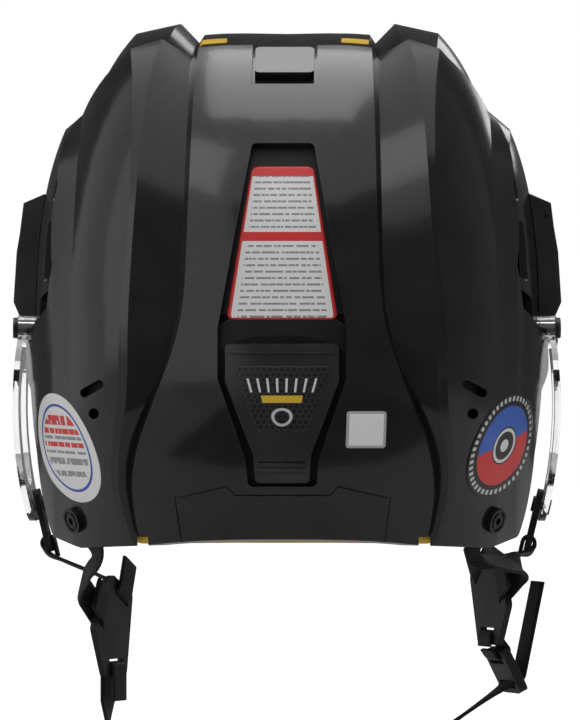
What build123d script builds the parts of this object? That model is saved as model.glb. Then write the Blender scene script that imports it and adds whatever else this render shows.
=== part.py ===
"""Ice hockey helmet, medium size, in millimetres.

+Z is up and the face opening looks along -Y, so +Y is the back of the head and +X is the wearer's left.
The origin is the middle of the head opening, level with the ears.
"""
from build123d import *
import os
from math import atan2, cos, degrees, hypot, radians, sin

os.makedirs("parts", exist_ok=True)

# Driving dimensions: the outer shell
half_width = 99.5
crown_height = 143.0
rear_depth = 127.0
front_depth = 133.0
ear_radius = 17.0
ridge_height = 8.0
groove_depth = 2.2
groove_width = 2.6
shoulder_dip = 3.4
shoulder_rise = 1.5
panel_rise = 0.8
shell_wall = 2.6
shell_gap = 1.3
front_wall = 2.8
seat_gap = 0.3
overrun = 30.0

# Driving dimensions: the foam and the head
foam_gap = 1.6
pad_gap = 1.0
head_half_width = 77.0
head_rear_depth = 98.0
head_front_depth = 101.0
head_crown_height = 118.0
pad_thickness = 4.0
foam_margin = 5.0
foam_split = 1.5

front_skin = shell_wall + shell_gap
front_inside = front_skin + front_wall
outer_form = (half_width, rear_depth, front_depth, crown_height)
head_form = (head_half_width, head_rear_depth, head_front_depth, head_crown_height)
pad_form = tuple(size + pad_thickness for size in head_form)

# The shell's sections turn about the X axis: 0 degrees looks back, 90 up and 180 to the front.
# Each table gives a feature line's place at each station, from the neck over the crown to the brow.
stations = (-60, -45, -30, -15, 0, 12, 25, 40, 55, 70, 90, 115, 140, 165, 190, 215)
panel_edge_shares = (
    .482, .503, .523, .553, .472, .382, .352, .342,
    .332, .322, .317, .302, .281, .261, .241, .241,
)
ridge_inner_shares = (
    .518, .538, .555, .598, .553, .538, .523, .503,
    .477, .432, .402, .392, .372, .352, .332, .332,
)
ridge_outer_shares = (
    .543, .563, .578, .623, .583, .568, .543, .529,
    .533, .553, .558, .543, .503, .462, .432, .432,
)
inner_height_shares = (0, .04, .10, .31, .56, .75, .83, .88, .88, .83, .79, .75, .69, .56, .25, .13)
outer_height_shares = (0, .04, .10, .31, .58, .78, .85, .90, .94, .98, .99, .94, .81, .63, .25, .13)
dip_shares = (0, 0, 0, 0, 0, 0, 0, .3, .6, .9, 1, 1, .9, .6, .3, 0)
rise_shares = (0, 0, 0, 0, 0, 0, 0, .33, .67, 1, 1, 1, 1, .67, 0, 0)
shoulder_inner_share = 0.794
shoulder_outer_share = 0.869
wing_shares = (0.35, 0.7)
side_shares = (0.75, 0.5, 0.25)
centre_shares = (0, 0.5)
profile_power = 2.4
section_power = 2.3
section_power_rise = 0.9
neck_tuck_share = 0.09
neck_tuck_slowing = 0.35
neck_tuck_angle = 26
brow_tuck_share = 0.04
brow_tuck_angle = 35
probe_share = 0.002


def reach_at(form, angle):
    """How far the form stands from the X axis at this angle."""
    _, rear, front, crown = form
    if angle < 0:
        turn = (-angle / neck_tuck_angle) ** 1.5
        return rear * (1 - neck_tuck_share * turn / (1 + neck_tuck_slowing * turn))
    if angle > 180:
        return front * (1 - brow_tuck_share * ((angle - 180) / brow_tuck_angle) ** 1.5)
    depth = rear if angle <= 90 else front
    across = abs(cos(radians(angle))) / depth
    up = abs(sin(radians(angle))) / crown
    return (across ** profile_power + up ** profile_power) ** (-1 / profile_power)


def power_at(angle):
    return section_power + section_power_rise * sin(radians(angle)) ** 2


def raised(form, angle, across, reach, rise):
    """The section's point (across, reach), moved out along its normal by rise."""
    power = power_at(angle)
    slope_x = (abs(across) / form[0]) ** (power - 1) / form[0]
    slope_r = (reach / reach_at(form, angle)) ** (power - 1) / reach_at(form, angle)
    size = hypot(slope_x, slope_r)
    side = -1 if across < 0 else 1
    return across + side * rise * slope_x / size, reach + rise * slope_r / size


def at_width(form, angle, across, rise=0):
    power = power_at(angle)
    reach = reach_at(form, angle) * (1 - (abs(across) / form[0]) ** power) ** (1 / power)
    return raised(form, angle, across, reach, rise)


def at_reach(form, angle, reach, rise=0):
    power = power_at(angle)
    across = form[0] * (1 - (reach / reach_at(form, angle)) ** power) ** (1 / power)
    return raised(form, angle, across, reach, rise)


def half_runs(form, index, rise, relief):
    """Half of one section from the middle to the ear, as runs that meet at the feature lines."""
    angle = stations[index]
    width = form[0]
    edge = panel_edge_shares[index] * width
    inner = ridge_inner_shares[index] * width
    outer = ridge_outer_shares[index] * width
    groove = min(groove_width, (inner - edge) / 2)
    valley = -groove_depth * min(1, groove / groove_width)
    heights = (ridge_height * inner_height_shares[index], ridge_height * outer_height_shares[index])
    dip = -shoulder_dip * dip_shares[index]
    swell = shoulder_rise * rise_shares[index]
    shoulder = shoulder_inner_share * width
    brim = shoulder_outer_share * width

    def point(across, lift):
        return at_width(form, angle, across, rise + relief * lift)

    centre = [point(edge * share, panel_rise * share) for share in centre_shares]
    panel = point(edge, panel_rise)
    bottom = point(edge + groove, valley)
    crest = point(inner, heights[0])
    crease = point(outer, heights[1])
    wing = [
        point(outer + (shoulder - outer) * share, heights[1] + (dip - heights[1]) * share)
        for share in wing_shares
    ]
    corner = point(shoulder, dip)
    rim = point(brim, swell)
    brim_reach = at_width(form, angle, brim)[1]
    side = [
        at_reach(form, angle, ear_radius + (brim_reach - ear_radius) * share, rise + relief * swell * share)
        for share in side_shares
    ]
    end = at_reach(form, angle, ear_radius, rise)
    return [
        [*centre, panel],
        [panel, bottom],
        [bottom, crest],
        [crest, crease],
        [crease, *wing, corner],
        [corner, rim],
        [rim, *side, end],
    ]


def full_runs(half):
    """The half section and its mirror image, from the left ear to the right one."""
    left = [[(-x, y) for x, y in reversed(run)] for run in reversed(half)]
    middle = left[-1][:-1] + half[0]
    return [*left[:-1], middle, *half[1:]]


def station_plane(angle):
    return Plane(origin=(0, 0, 0), x_dir=(1, 0, 0), z_dir=(0, -sin(radians(angle)), cos(radians(angle))))


def section(index, outside, inside=0, inner_form=None):
    """One closed section of a shell between two depths below the outer form, ready to loft."""
    outer = full_runs(half_runs(outer_form, index, -outside, 1))
    if inner_form is None:
        inner = full_runs(half_runs(outer_form, index, -inside, 1))
    else:
        inner = full_runs(half_runs(inner_form, index, 0, 0))
    inner = [list(reversed(run)) for run in reversed(inner)]
    with BuildSketch(station_plane(stations[index])) as sketch:
        with BuildLine():
            for run in outer + inner:
                if len(run) == 2:
                    Line(*run)
                else:
                    Spline(*run)
            Line(outer[-1][-1], inner[0][0])
            Line(inner[-1][-1], outer[0][0])
        make_face()
    return sketch.sketch.faces()[0]


def plain_section(index, outer, inner):
    """One closed section between two plain forms."""
    outer = full_runs(half_runs(outer, index, 0, 0))
    inner = [list(reversed(run)) for run in reversed(full_runs(half_runs(inner, index, 0, 0)))]
    with BuildSketch(station_plane(stations[index])) as sketch:
        with BuildLine():
            for run in outer + inner:
                if len(run) == 2:
                    Line(*run)
                else:
                    Spline(*run)
            Line(outer[-1][-1], inner[0][0])
            Line(inner[-1][-1], outer[0][0])
        make_face()
    return sketch.sketch.faces()[0]


def skin_vector(angle, share, side):
    """A point of the plain outer form, found by its angle and its share of the middle line's reach."""
    reach = share * reach_at(outer_form, angle)
    across = at_reach(outer_form, angle, reach)[0]
    return Vector(side * across, reach * cos(radians(angle)), reach * sin(radians(angle)))


def skin_plane(angle, share, side, depth):
    """A plane at that point, moved in by depth, with Z along the outward normal."""
    spot = skin_vector(angle, share, side)
    turned = skin_vector(angle + 1, share, side) - skin_vector(angle - 1, share, side)
    stretched = skin_vector(angle, share + probe_share, side) - skin_vector(angle, share - probe_share, side)
    normal = turned.cross(stretched).normalized()
    if normal.dot(spot) < 0:
        normal = -normal
    return Plane(origin=spot - normal * depth, x_dir=turned.normalized(), z_dir=normal)


def centre_plane(angle, depth):
    """A plane on the middle line at this angle, moved in by depth, with Z along the outward normal."""
    def spot(turn):
        return Vector(0, cos(radians(turn)), sin(radians(turn))) * reach_at(outer_form, turn)

    along = (spot(angle + 1) - spot(angle - 1)).normalized()
    normal = Vector(1, 0, 0).cross(along)
    if normal.dot(spot(angle)) < 0:
        normal = -normal
    return Plane(origin=spot(angle) - normal * depth, x_dir=(1, 0, 0), z_dir=normal)


def side_points(shares):
    """Points of a side view, as (Y, Z), from shares of the shell's depths and height."""
    return [(y * (rear_depth if y > 0 else front_depth), z * crown_height) for y, z in shares]


def rear_points(shares):
    """Points of a rear view, as (X, Z), from shares of the shell's half width and height."""
    return [(x * half_width, z * crown_height) for x, z in shares]


def both_sides(shares):
    """A closed rear view outline from the shares of its left half."""
    left = rear_points(shares)
    return left + [(-x, z) for x, z in reversed(left)]


def patch(half_span, outside, inside):
    """A thick strip of the middle panel between two depths, wide enough for what is cut from it."""
    faces = []
    for index, angle in enumerate(stations):
        edge = panel_edge_shares[index] * half_width
        rows = []
        for depth in (outside, inside):
            rows.append([
                at_width(
                    outer_form, angle, half_span * share, panel_rise * abs(half_span * share) / edge - depth
                )
                for share in (-1, -0.5, 0, 0.5, 1)
            ])
        with BuildSketch(station_plane(angle)) as sketch:
            with BuildLine():
                Spline(*rows[0])
                Line(rows[0][-1], rows[1][-1])
                Spline(*reversed(rows[1]))
                Line(rows[1][0], rows[0][0])
            make_face()
        faces.append(sketch.sketch.faces()[0])
    with BuildPart(mode=Mode.PRIVATE) as thick:
        loft(sections=faces)
    return thick.part


def ribbon(stops, width, thickness):
    """Flat webbing through stops, each a point and the direction that its flat side faces."""
    faces = []
    points = [point for point, _ in stops]
    for number, (point, flat) in enumerate(stops):
        before = points[max(number - 1, 0)]
        after = points[min(number + 1, len(points) - 1)]
        ahead = (after - before).normalized()
        across = flat.cross(ahead).normalized()
        with BuildSketch(Plane(origin=point, x_dir=across, z_dir=ahead)) as cut:
            Rectangle(width, thickness)
        faces.append(cut.sketch.faces()[0])
    with BuildPart(mode=Mode.PRIVATE) as webbing:
        loft(sections=faces, ruled=True)
    return webbing.part


def bridge(start, leaving, end, arriving, first_flat, last_flat, steps):
    """Stops of a smooth curve from start to end, without its two ends."""
    stops = []
    for number in range(1, steps):
        t = number / steps
        point = start * (2 * t ** 3 - 3 * t ** 2 + 1) + leaving * (t ** 3 - 2 * t ** 2 + t)
        point = point + end * (3 * t ** 2 - 2 * t ** 3) + arriving * (t ** 3 - t ** 2)
        stops.append((point, (first_flat * (1 - t) + last_flat * t).normalized()))
    return stops


def wrap(middle, flat, along, radius, steps):
    """Stops of a half turn round a bar, from the side that flat faces to the other side."""
    stops = []
    for number in range(steps + 1):
        turn = radians(180 * number / steps)
        out = flat * cos(turn) - along * sin(turn)
        stops.append((middle + out * radius, out))
    return stops


def save(part, name):
    part.label = name
    export_step(part, f"parts/{name}.step")
    print(name, "solids", len(part.solids()), "volume", round(part.volume))


cut_reach = half_width + overrun
rear_reach = rear_depth + overrun
sides = {"left": 1, "right": -1}

# Side outlines of the two shells, as (Y, Z) shares
rear_side_shares = (
    (.488, 1.12), (.472, .895), (.315, .734), (.488, .559), (.567, .35), (.535, .238),
    (.205, .14), (.157, .084), (.331, .028), (.394, -.14), (.409, -.357), (.551, -.385),
    (.748, -.374), (.882, -.35), (1.1, -.35), (1.1, 1.12),
)
front_side_shares = (
    (.693, 1.12), (.787, .70), (.772, .42), (.693, .224), (.472, .154), (.236, .084), (.142, .098), (0, .119),
    (-.226, .105), (-.331, 0), (-.391, -.168), (-.541, -.196), (-.692, -.084), (-.812, .14), (-.932, .224),
    (-1.13, .224), (-1.13, 1.12),
)
side_corner_radius = 2.5
foam_edge = 1.5
foam_end_gap = 3.0


def side_outline(shares, growth):
    """The face of a side outline, grown by growth, ready to extrude across the helmet."""
    with BuildSketch(Plane.YZ.offset(-cut_reach)) as outline:
        with BuildLine():
            Polyline(*side_points(shares), close=True)
        make_face()
        if growth:
            offset(amount=growth, kind=Kind.INTERSECTION)
        fillet(outline.vertices(), side_corner_radius)
    return outline.sketch


rear_side = side_outline(rear_side_shares, 0)
front_side = side_outline(front_side_shares, 0)

# Side vents of the front shell, three on each side in front of the rear shell's wing
side_vent_shares = (
    ((.346, .643), (.425, .587), (.472, .51), (.386, .524)),
    ((.378, .469), (.496, .462), (.535, .336), (.394, .308)),
    ((.346, .266), (.52, .301), (.504, .252), (.315, .196)),
)
side_vent_corner = 1.6
crown_slot_width = 7.0
crown_slot_length = 34.0
crown_slot_across = 15.0
crown_slot_place_shares = (-.105, -.481)

with BuildSketch(Plane.YZ.offset(-cut_reach)) as side_vents:
    for shares in side_vent_shares:
        with BuildLine():
            Polyline(*side_points(shares), close=True)
        make_face()
    fillet(side_vents.vertices(), side_vent_corner)

with BuildSketch(Plane.XY) as crown_slots:
    for share in crown_slot_place_shares:
        place = share * front_depth
        with Locations((crown_slot_across, place), (-crown_slot_across, place)):
            SlotOverall(crown_slot_length, crown_slot_width, rotation=90)

# Small windows beside the tongue, where the yellow foam shows
peep_across_share = .279
peep_back_share = .429
peep_across = peep_across_share * half_width
peep_back = peep_back_share * rear_depth
peep_width = 10.5
peep_length = 9.0
peep_gap = 0.4

with BuildSketch(Plane.XY) as peeps:
    with Locations((peep_across, peep_back), (-peep_across, peep_back)):
        Rectangle(peep_width, peep_length)

# Tongue of the front shell and its notch in the rear shell
tongue_width = 22.0
tongue_length = 20.0
tongue_angle = 61
tongue_sink = 0.4
tongue_thickness = 4.0
tongue_corner = 2.0
notch_gap = 1.1

tongue_plane = centre_plane(tongue_angle, tongue_sink)
notch_bottom = (
    tongue_plane.origin.Z - abs(tongue_plane.y_dir.Z) * tongue_length / 2
    - tongue_plane.z_dir.Z * (shell_wall + shell_gap) - notch_gap
)

# Window, tray and plane of the adjuster
window_shares = ((.114, .664), (.237, .187), (.237, .056), (.136, -.147), (.126, -.220))
window_corner = 2.0
tray_lip = 3.0
tray_wall = 2.2
tray_split_share = .207
tray_split_height = tray_split_share * crown_height
adjuster_sink = 7.5
adjuster_height_share = -.0315
adjuster_height = adjuster_height_share * crown_height
adjuster_tilt = 7.5
adjuster_gap = 0.25
patch_margin = 1.4
patch_half_span = max(x for x, _ in window_shares) * half_width + tray_lip + patch_margin


def adjuster_plane(depth):
    """The flat bed that the adjuster slides on: X towards the left hand, Y up the bed, Z out of it."""
    lean = radians(adjuster_tilt)
    bed = Plane(
        origin=(0, rear_depth - adjuster_sink, adjuster_height),
        x_dir=(-1, 0, 0),
        z_dir=(0, cos(lean), -sin(lean)),
    )
    return bed.offset(-depth)


def window_outline(growth):
    with BuildSketch(Plane.XZ) as outline:
        with BuildLine():
            Polyline(*both_sides(window_shares), close=True)
        make_face()
        fillet(outline.vertices(), window_corner)
        if growth:
            offset(amount=growth)
    return outline.sketch


# Strap screws, at the lower corners of the rear shell
strap_screw_angle = -31
strap_screw_share = .7390
screw_radius = 2.0
screw_clearance = 0.1
strap_seat = 1.1
strap_head_radius = 4.9
strap_head_height = 1.8
ring_radii = (3.9, 2.9)
ring_depth = 0.6
drive_radius = 1.5
drive_depth = 1.0
slot_drive_width = 1.0
nut_radius = 5.0
nut_height = 2.4
strap_pocket_radius = 12.0

# Ear guards
guard_curve = 170.0
guard_stand = 3.9
guard_middle = -2.0
guard_thickness = 2.2
guard_bottom = -46.0
guard_side_margin = 3.5
guard_top_margin = 1.5
guard_corner = 14.0
ear_hole_width = 38.0
ear_hole_height = 44.0
ear_hole_centre = (-4.0, -10.5)
ear_hole_corner = 12.0
boss_radius = 4.6
boss_top = 3.4
boss_gap = 0.25
ear_screw_shares = ((42.0, .2864), (144.8, .2909))
ear_head_radius = 3.9
ear_head_height = 1.6
guard_centre = half_width + guard_stand - guard_curve
ear_screw_spots = [skin_vector(angle, share, 1) for angle, share in ear_screw_shares]
guard_back = ear_screw_spots[0].Y + guard_side_margin
guard_front = ear_screw_spots[1].Y - guard_side_margin
guard_top = ear_screw_spots[0].Z + guard_top_margin

# Face cage nuts: one at each temple and two in the brow, as an angle and a share of the reach
cage_hole_radius = 2.6
cage_hole_shares = ((172.0, .5), (157.4, .9925))

# Slots and notches of the wings and the panel line above the neck
slot_place_shares = (.7095, .0308)
slot_length = 10.0
slot_width = 3.4
slot_turn = 28
pin_hole_place_shares = (.7025, -.0336)
pin_hole_radius = 2.0
groove_notch_width = 4.2
groove_notch_height = 3.4
groove_notch_share = -.376
panel_line_shares = ((.362, -.42), (.396, -.249), (.205, -.2175), (.173, -.241))
panel_line_width = 1.0
panel_line_depth = 0.6

# The panel line as a shallow groove: its prism without what lies deeper than the groove
with BuildPart() as panel_prism:
    with BuildSketch(Plane.XZ):
        with BuildLine():
            Polyline(*both_sides(panel_line_shares))
        trace(line_width=panel_line_width)
    extrude(amount=-rear_reach)
panel_groove = panel_prism.part - patch(panel_edge_shares[0] * half_width, panel_line_depth, rear_depth / 2)

# Rear shell
with BuildPart() as rear_shell:
    loft(sections=[section(index, 0, shell_wall) for index in range(0, 16)])
    extrude(rear_side, amount=2 * cut_reach, mode=Mode.INTERSECT)
    extrude(window_outline(0), amount=-rear_reach, mode=Mode.SUBTRACT)
    with BuildSketch(Plane.XZ):
        with Locations((0, notch_bottom)):
            Rectangle(tongue_width + 2 * notch_gap, overrun, align=(Align.CENTER, Align.MIN))
        for side in sides.values():
            slot_place, pin_hole_place, groove_notch_place = rear_points(
                (slot_place_shares, pin_hole_place_shares, (panel_edge_shares[2], groove_notch_share))
            )
            with Locations((side * slot_place[0], slot_place[1])):
                SlotOverall(slot_length, slot_width, rotation=-side * slot_turn)
            with Locations((side * pin_hole_place[0], pin_hole_place[1])):
                Circle(pin_hole_radius)
            with Locations((side * groove_notch_place[0], groove_notch_place[1])):
                Rectangle(groove_notch_width, 2 * groove_notch_height)
    extrude(amount=-rear_reach, mode=Mode.SUBTRACT)
    add(panel_groove, mode=Mode.SUBTRACT)
    for side in sides.values():
        with BuildSketch(skin_plane(strap_screw_angle, strap_screw_share, side, -overrun / 2)):
            Circle(screw_radius + screw_clearance)
        extrude(amount=-overrun, mode=Mode.SUBTRACT)
save(rear_shell.part, "rear_shell")

# Front shell, with its tongue
with BuildPart() as front_shell:
    loft(sections=[section(index, front_skin, front_inside) for index in range(0, 16)])
    extrude(front_side, amount=2 * cut_reach, mode=Mode.INTERSECT)
    extrude(side_vents.sketch, amount=2 * cut_reach, mode=Mode.SUBTRACT)
    extrude(crown_slots.sketch, amount=crown_height + overrun, mode=Mode.SUBTRACT)
    extrude(peeps.sketch, amount=crown_height + overrun, mode=Mode.SUBTRACT)
    with BuildSketch(tongue_plane):
        RectangleRounded(tongue_width, tongue_length, tongue_corner)
    extrude(amount=-tongue_thickness)
    for side in sides.values():
        for angle, share in ear_screw_shares:
            with BuildSketch(skin_plane(angle, share, side, -overrun / 2)):
                Circle(screw_radius + screw_clearance)
            extrude(amount=-overrun, mode=Mode.SUBTRACT)
        for angle, share in cage_hole_shares:
            with BuildSketch(skin_plane(angle, share, side, -overrun / 2)):
                Circle(cage_hole_radius)
            extrude(amount=-overrun, mode=Mode.SUBTRACT)
save(front_shell.part, "front_shell")


# Adjuster tray: the sunk bed behind the window, fixed inside the rear shell
tray_seat = 0.5
tray_outside = shell_wall + tray_seat
bed_stop = 17.0
stem_half_width = 5.0
stem_length = 8.0
adjuster_travel = 8.0
stem_gap = 0.3

with BuildPart() as adjuster_tray:
    add(patch(patch_half_span, tray_outside, bed_stop))
    extrude(window_outline(tray_lip), amount=-rear_reach, mode=Mode.INTERSECT)
    extrude(side_outline(front_side_shares, tray_lip / 2), amount=2 * cut_reach, mode=Mode.SUBTRACT)
    with BuildSketch(Plane.XY.offset(tray_split_height + tray_wall), mode=Mode.PRIVATE) as step:
        with Locations((0, rear_depth)):
            Rectangle(2 * half_width, rear_depth)
    above_step = extrude(step.sketch, amount=crown_height, mode=Mode.PRIVATE)
    below_step = extrude(step.sketch, amount=-2 * crown_height, mode=Mode.PRIVATE)
    behind_label = patch(patch_half_span + tray_lip, tray_outside + tray_wall, 2 * bed_stop)
    add(behind_label & above_step, mode=Mode.SUBTRACT)
    with BuildSketch(adjuster_plane(tray_wall)):
        Rectangle(2 * half_width, 2 * rear_depth)
    add(extrude(amount=-rear_depth, mode=Mode.PRIVATE) & below_step, mode=Mode.SUBTRACT)
    with BuildSketch(adjuster_plane(0)):
        Rectangle(2 * half_width, 2 * rear_depth)
    bed_space = extrude(amount=rear_depth, mode=Mode.PRIVATE)
    window_space = extrude(window_outline(0), amount=-rear_reach, mode=Mode.PRIVATE)
    with BuildSketch(Plane.XY.offset(tray_split_height)):
        with Locations((0, rear_depth)):
            Rectangle(2 * half_width, rear_depth)
    low_space = extrude(amount=-2 * crown_height, mode=Mode.PRIVATE)
    add(bed_space & window_space & low_space, mode=Mode.SUBTRACT)
    with BuildSketch(adjuster_plane(0)):
        with Locations((0, adjuster_travel / 2)):
            Rectangle(2 * (stem_half_width + stem_gap), stem_length + adjuster_travel + 2 * stem_gap)
    extrude(amount=-tray_wall * 2, mode=Mode.SUBTRACT)
save(adjuster_tray.part, "adjuster_tray")

# Adjuster slider, with its top lip, ribs and stem
slider_shares = ((.209, .181), (.209, .0874), (.1065, -.1021), (.0985, -.1776))
slider_corner = 1.5
slider_sink = 0.2
lip_height = 3.0
lip_rise = 1.0
rib_count = 4
rib_pitch = 2.2
rib_depth = 0.9
rib_width = 1.1
rib_half_span = 8.6
rib_margin = 1.4
carrier_gap = 0.3
screw_core_radius = 1.5
stem_depth = tray_wall + carrier_gap

slider_top = slider_shares[0][1] * crown_height
first_rib = slider_shares[-1][1] * crown_height + rib_margin

with BuildPart() as slider_lip:
    add(patch(patch_half_span, -lip_rise, slider_sink + lip_rise))
    with BuildSketch(adjuster_plane(0)) as lip_face:
        with Locations((0, slider_top - lip_height / 2)):
            Rectangle(2 * slider_shares[0][0] * half_width - 2 * slider_corner, lip_height)
    extrude(lip_face.sketch, amount=rear_depth, mode=Mode.INTERSECT)

with BuildPart() as occipital_slider:
    add(patch(patch_half_span, slider_sink, bed_stop))
    with BuildSketch(adjuster_plane(-adjuster_gap)) as slider_face:
        with BuildLine():
            Polyline(*both_sides(slider_shares), close=True)
        make_face()
        fillet(slider_face.vertices(), slider_corner)
    extrude(amount=rear_depth, mode=Mode.INTERSECT)
    add(slider_lip.part)
    with BuildSketch(adjuster_plane(-adjuster_sink / 2)):
        for number in range(rib_count):
            with Locations((0, first_rib + number * rib_pitch)):
                Rectangle(2 * rib_half_span, rib_width)
    ribs = extrude(amount=adjuster_sink, mode=Mode.PRIVATE)
    add(ribs - patch(patch_half_span, slider_sink + rib_depth, 2 * bed_stop), mode=Mode.SUBTRACT)
    with BuildSketch(adjuster_plane(-adjuster_gap * 2)):
        Rectangle(2 * stem_half_width, stem_length)
    extrude(amount=-stem_depth - adjuster_gap * 2)
    with BuildSketch(adjuster_plane(stem_depth)):
        Circle(screw_core_radius + screw_clearance)
    extrude(amount=stem_depth + adjuster_sink / 2, mode=Mode.SUBTRACT)
save(occipital_slider.part, "occipital_slider")

# Foam liners. The front body is one block behind the front shell, cut at a brow line and a crown line.
foam_form = tuple(size + pad_thickness + pad_gap for size in head_form)
brow_split = 58.0
crown_split = 78.0
side_split = 56.0
pocket_gap = 1.0
tray_gap = 1.0

with BuildPart() as front_foam:
    loft(sections=[section(index, front_inside + foam_gap, inner_form=foam_form) for index in range(0, 16)])
    extrude(side_outline(front_side_shares, -foam_margin), amount=2 * cut_reach, mode=Mode.INTERSECT)
    extrude(side_vents.sketch, amount=2 * cut_reach, mode=Mode.SUBTRACT)
    extrude(crown_slots.sketch, amount=crown_height + overrun, mode=Mode.SUBTRACT)
    for side in sides.values():
        for angle, share in (*ear_screw_shares, *cage_hole_shares):
            with BuildSketch(skin_plane(angle, share, side, front_skin)):
                Circle(nut_radius + pocket_gap)
            extrude(amount=-front_wall - nut_height - 2 * pocket_gap, mode=Mode.SUBTRACT)

with BuildPart() as liner_front:
    add(front_foam.part)
    with Locations((0, -brow_split, 0)):
        Box(3 * half_width, 2 * front_depth, 3 * crown_height, align=(Align.CENTER, Align.MAX, Align.CENTER),
            mode=Mode.INTERSECT)
save(liner_front.part, "liner_front")

with BuildPart() as liner_crown:
    add(front_foam.part)
    with Locations((0, foam_split - brow_split, crown_split)):
        Box(3 * half_width, 3 * rear_depth, 2 * crown_height, align=(Align.CENTER, Align.MIN, Align.MIN),
            mode=Mode.INTERSECT)
    with BuildSketch(Plane.XY):
        with Locations((peep_across, peep_back), (-peep_across, peep_back)):
            Rectangle(peep_width - 2 * peep_gap, peep_length - 2 * peep_gap)
    plugs = extrude(amount=crown_height + overrun, mode=Mode.PRIVATE)
    plug_span = peep_across + peep_width / 2
    add(plugs & patch(plug_span, front_skin + peep_gap, front_inside + 2 * foam_gap + peep_gap))
save(liner_crown.part, "liner_crown")

for name, side in sides.items():
    with BuildPart() as liner_temple:
        add(front_foam.part)
        with Locations((0, foam_split - brow_split, crown_split - foam_split)):
            Box(2 * half_width, 3 * rear_depth, 2 * crown_height,
                align=(Align.MIN if side > 0 else Align.MAX, Align.MIN, Align.MAX), mode=Mode.INTERSECT)
    save(liner_temple.part, f"liner_temple_{name}")

# Rear foam, cut round the adjuster tray and the carrier's channel
carrier_half_width = 13.0
carrier_low = -16.0
carrier_high = 10.0
carrier_thickness = 2.0
channel_gap = 2.5

with BuildPart() as rear_foam:
    loft(sections=[section(index, shell_wall + foam_gap, inner_form=foam_form) for index in range(0, 16)])
    extrude(side_outline(rear_side_shares, -foam_edge), amount=2 * cut_reach, mode=Mode.INTERSECT)
    extrude(side_outline(front_side_shares, foam_end_gap), amount=2 * cut_reach, mode=Mode.SUBTRACT)
    tray_prism = extrude(window_outline(tray_lip + tray_gap), amount=-rear_reach, mode=Mode.PRIVATE)
    thin_patch = patch(patch_half_span + tray_lip, 0, tray_outside + tray_wall + seat_gap)
    add(tray_prism & thin_patch, mode=Mode.SUBTRACT)
    with BuildSketch(adjuster_plane(tray_wall + seat_gap)):
        Rectangle(2 * half_width, 2 * rear_depth)
    outside_bed = extrude(amount=rear_depth, mode=Mode.PRIVATE)
    with BuildSketch(Plane.XY.offset(tray_split_height + tray_wall + tray_gap)):
        Rectangle(2 * half_width, 3 * rear_depth)
    below_split = extrude(amount=-2 * crown_height, mode=Mode.PRIVATE)
    add(tray_prism & below_split & outside_bed, mode=Mode.SUBTRACT)
    with BuildSketch(adjuster_plane(0)):
        with Locations((0, (carrier_low + carrier_high + adjuster_travel) / 2)):
            Rectangle(2 * (carrier_half_width + channel_gap),
                      carrier_high - carrier_low + adjuster_travel + 2 * channel_gap)
    extrude(amount=-rear_depth, mode=Mode.SUBTRACT)
    for side in sides.values():
        with BuildSketch(skin_plane(strap_screw_angle, strap_screw_share, side, 0)):
            Circle(strap_pocket_radius)
            with Locations((-strap_pocket_radius, 0)):
                Rectangle(2 * strap_pocket_radius, 2 * strap_pocket_radius)
        extrude(amount=-overrun, mode=Mode.SUBTRACT)

with BuildPart() as liner_rear:
    add(rear_foam.part)
    Box(2 * side_split, 4 * rear_depth, 4 * crown_height, mode=Mode.INTERSECT)
save(liner_rear.part, "liner_rear")

for name, side in sides.items():
    with BuildPart() as liner_rear_side:
        add(rear_foam.part)
        with Locations((side * (side_split + foam_split), 0, 0)):
            Box(2 * half_width, 4 * rear_depth, 4 * crown_height,
                align=(Align.MIN if side > 0 else Align.MAX, Align.CENTER, Align.CENTER), mode=Mode.INTERSECT)
    save(liner_rear_side.part, f"liner_rear_side_{name}")

# Comfort pads inside the foam, and the adjuster's head pad
brow_pad_size = (112.0, 30.0)
brow_pad_height = 60.0
crown_pad_radii = (26.0, 20.5)
crown_pad_forward = 14.5
temple_pad_size = (84.0, 34.0)
temple_pad_centre = (-6.0, 46.0)
pad_corner = 11.0
head_pad_size = (88.0, 30.0)
head_pad_height = -22.0
head_pad_shift = 2.0
post_half_width = 7.0
post_gap = 0.3
post_depth = rear_depth - adjuster_sink - head_rear_depth

with BuildPart() as pad_shell:
    loft(sections=[plain_section(index, pad_form, head_form) for index in range(0, 16)])

with BuildPart() as pad_front:
    add(pad_shell.part)
    with BuildSketch(Plane.XZ):
        with Locations((0, brow_pad_height)):
            RectangleRounded(*brow_pad_size, pad_corner)
    extrude(amount=front_depth, mode=Mode.INTERSECT)
save(pad_front.part, "pad_front")

with BuildPart() as pad_crown:
    add(pad_shell.part)
    with BuildSketch(Plane.XY):
        with Locations((0, -crown_pad_forward)):
            Ellipse(*crown_pad_radii)
    extrude(amount=crown_height, mode=Mode.INTERSECT)
save(pad_crown.part, "pad_crown")

for name, side in sides.items():
    with BuildPart() as pad_temple:
        add(pad_shell.part)
        with BuildSketch(Plane.YZ):
            with Locations(temple_pad_centre):
                RectangleRounded(*temple_pad_size, pad_corner)
        extrude(amount=side * half_width, mode=Mode.INTERSECT)
        extrude(side_vents.sketch, amount=2 * cut_reach, mode=Mode.SUBTRACT)
    save(pad_temple.part, f"pad_temple_{name}")

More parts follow.
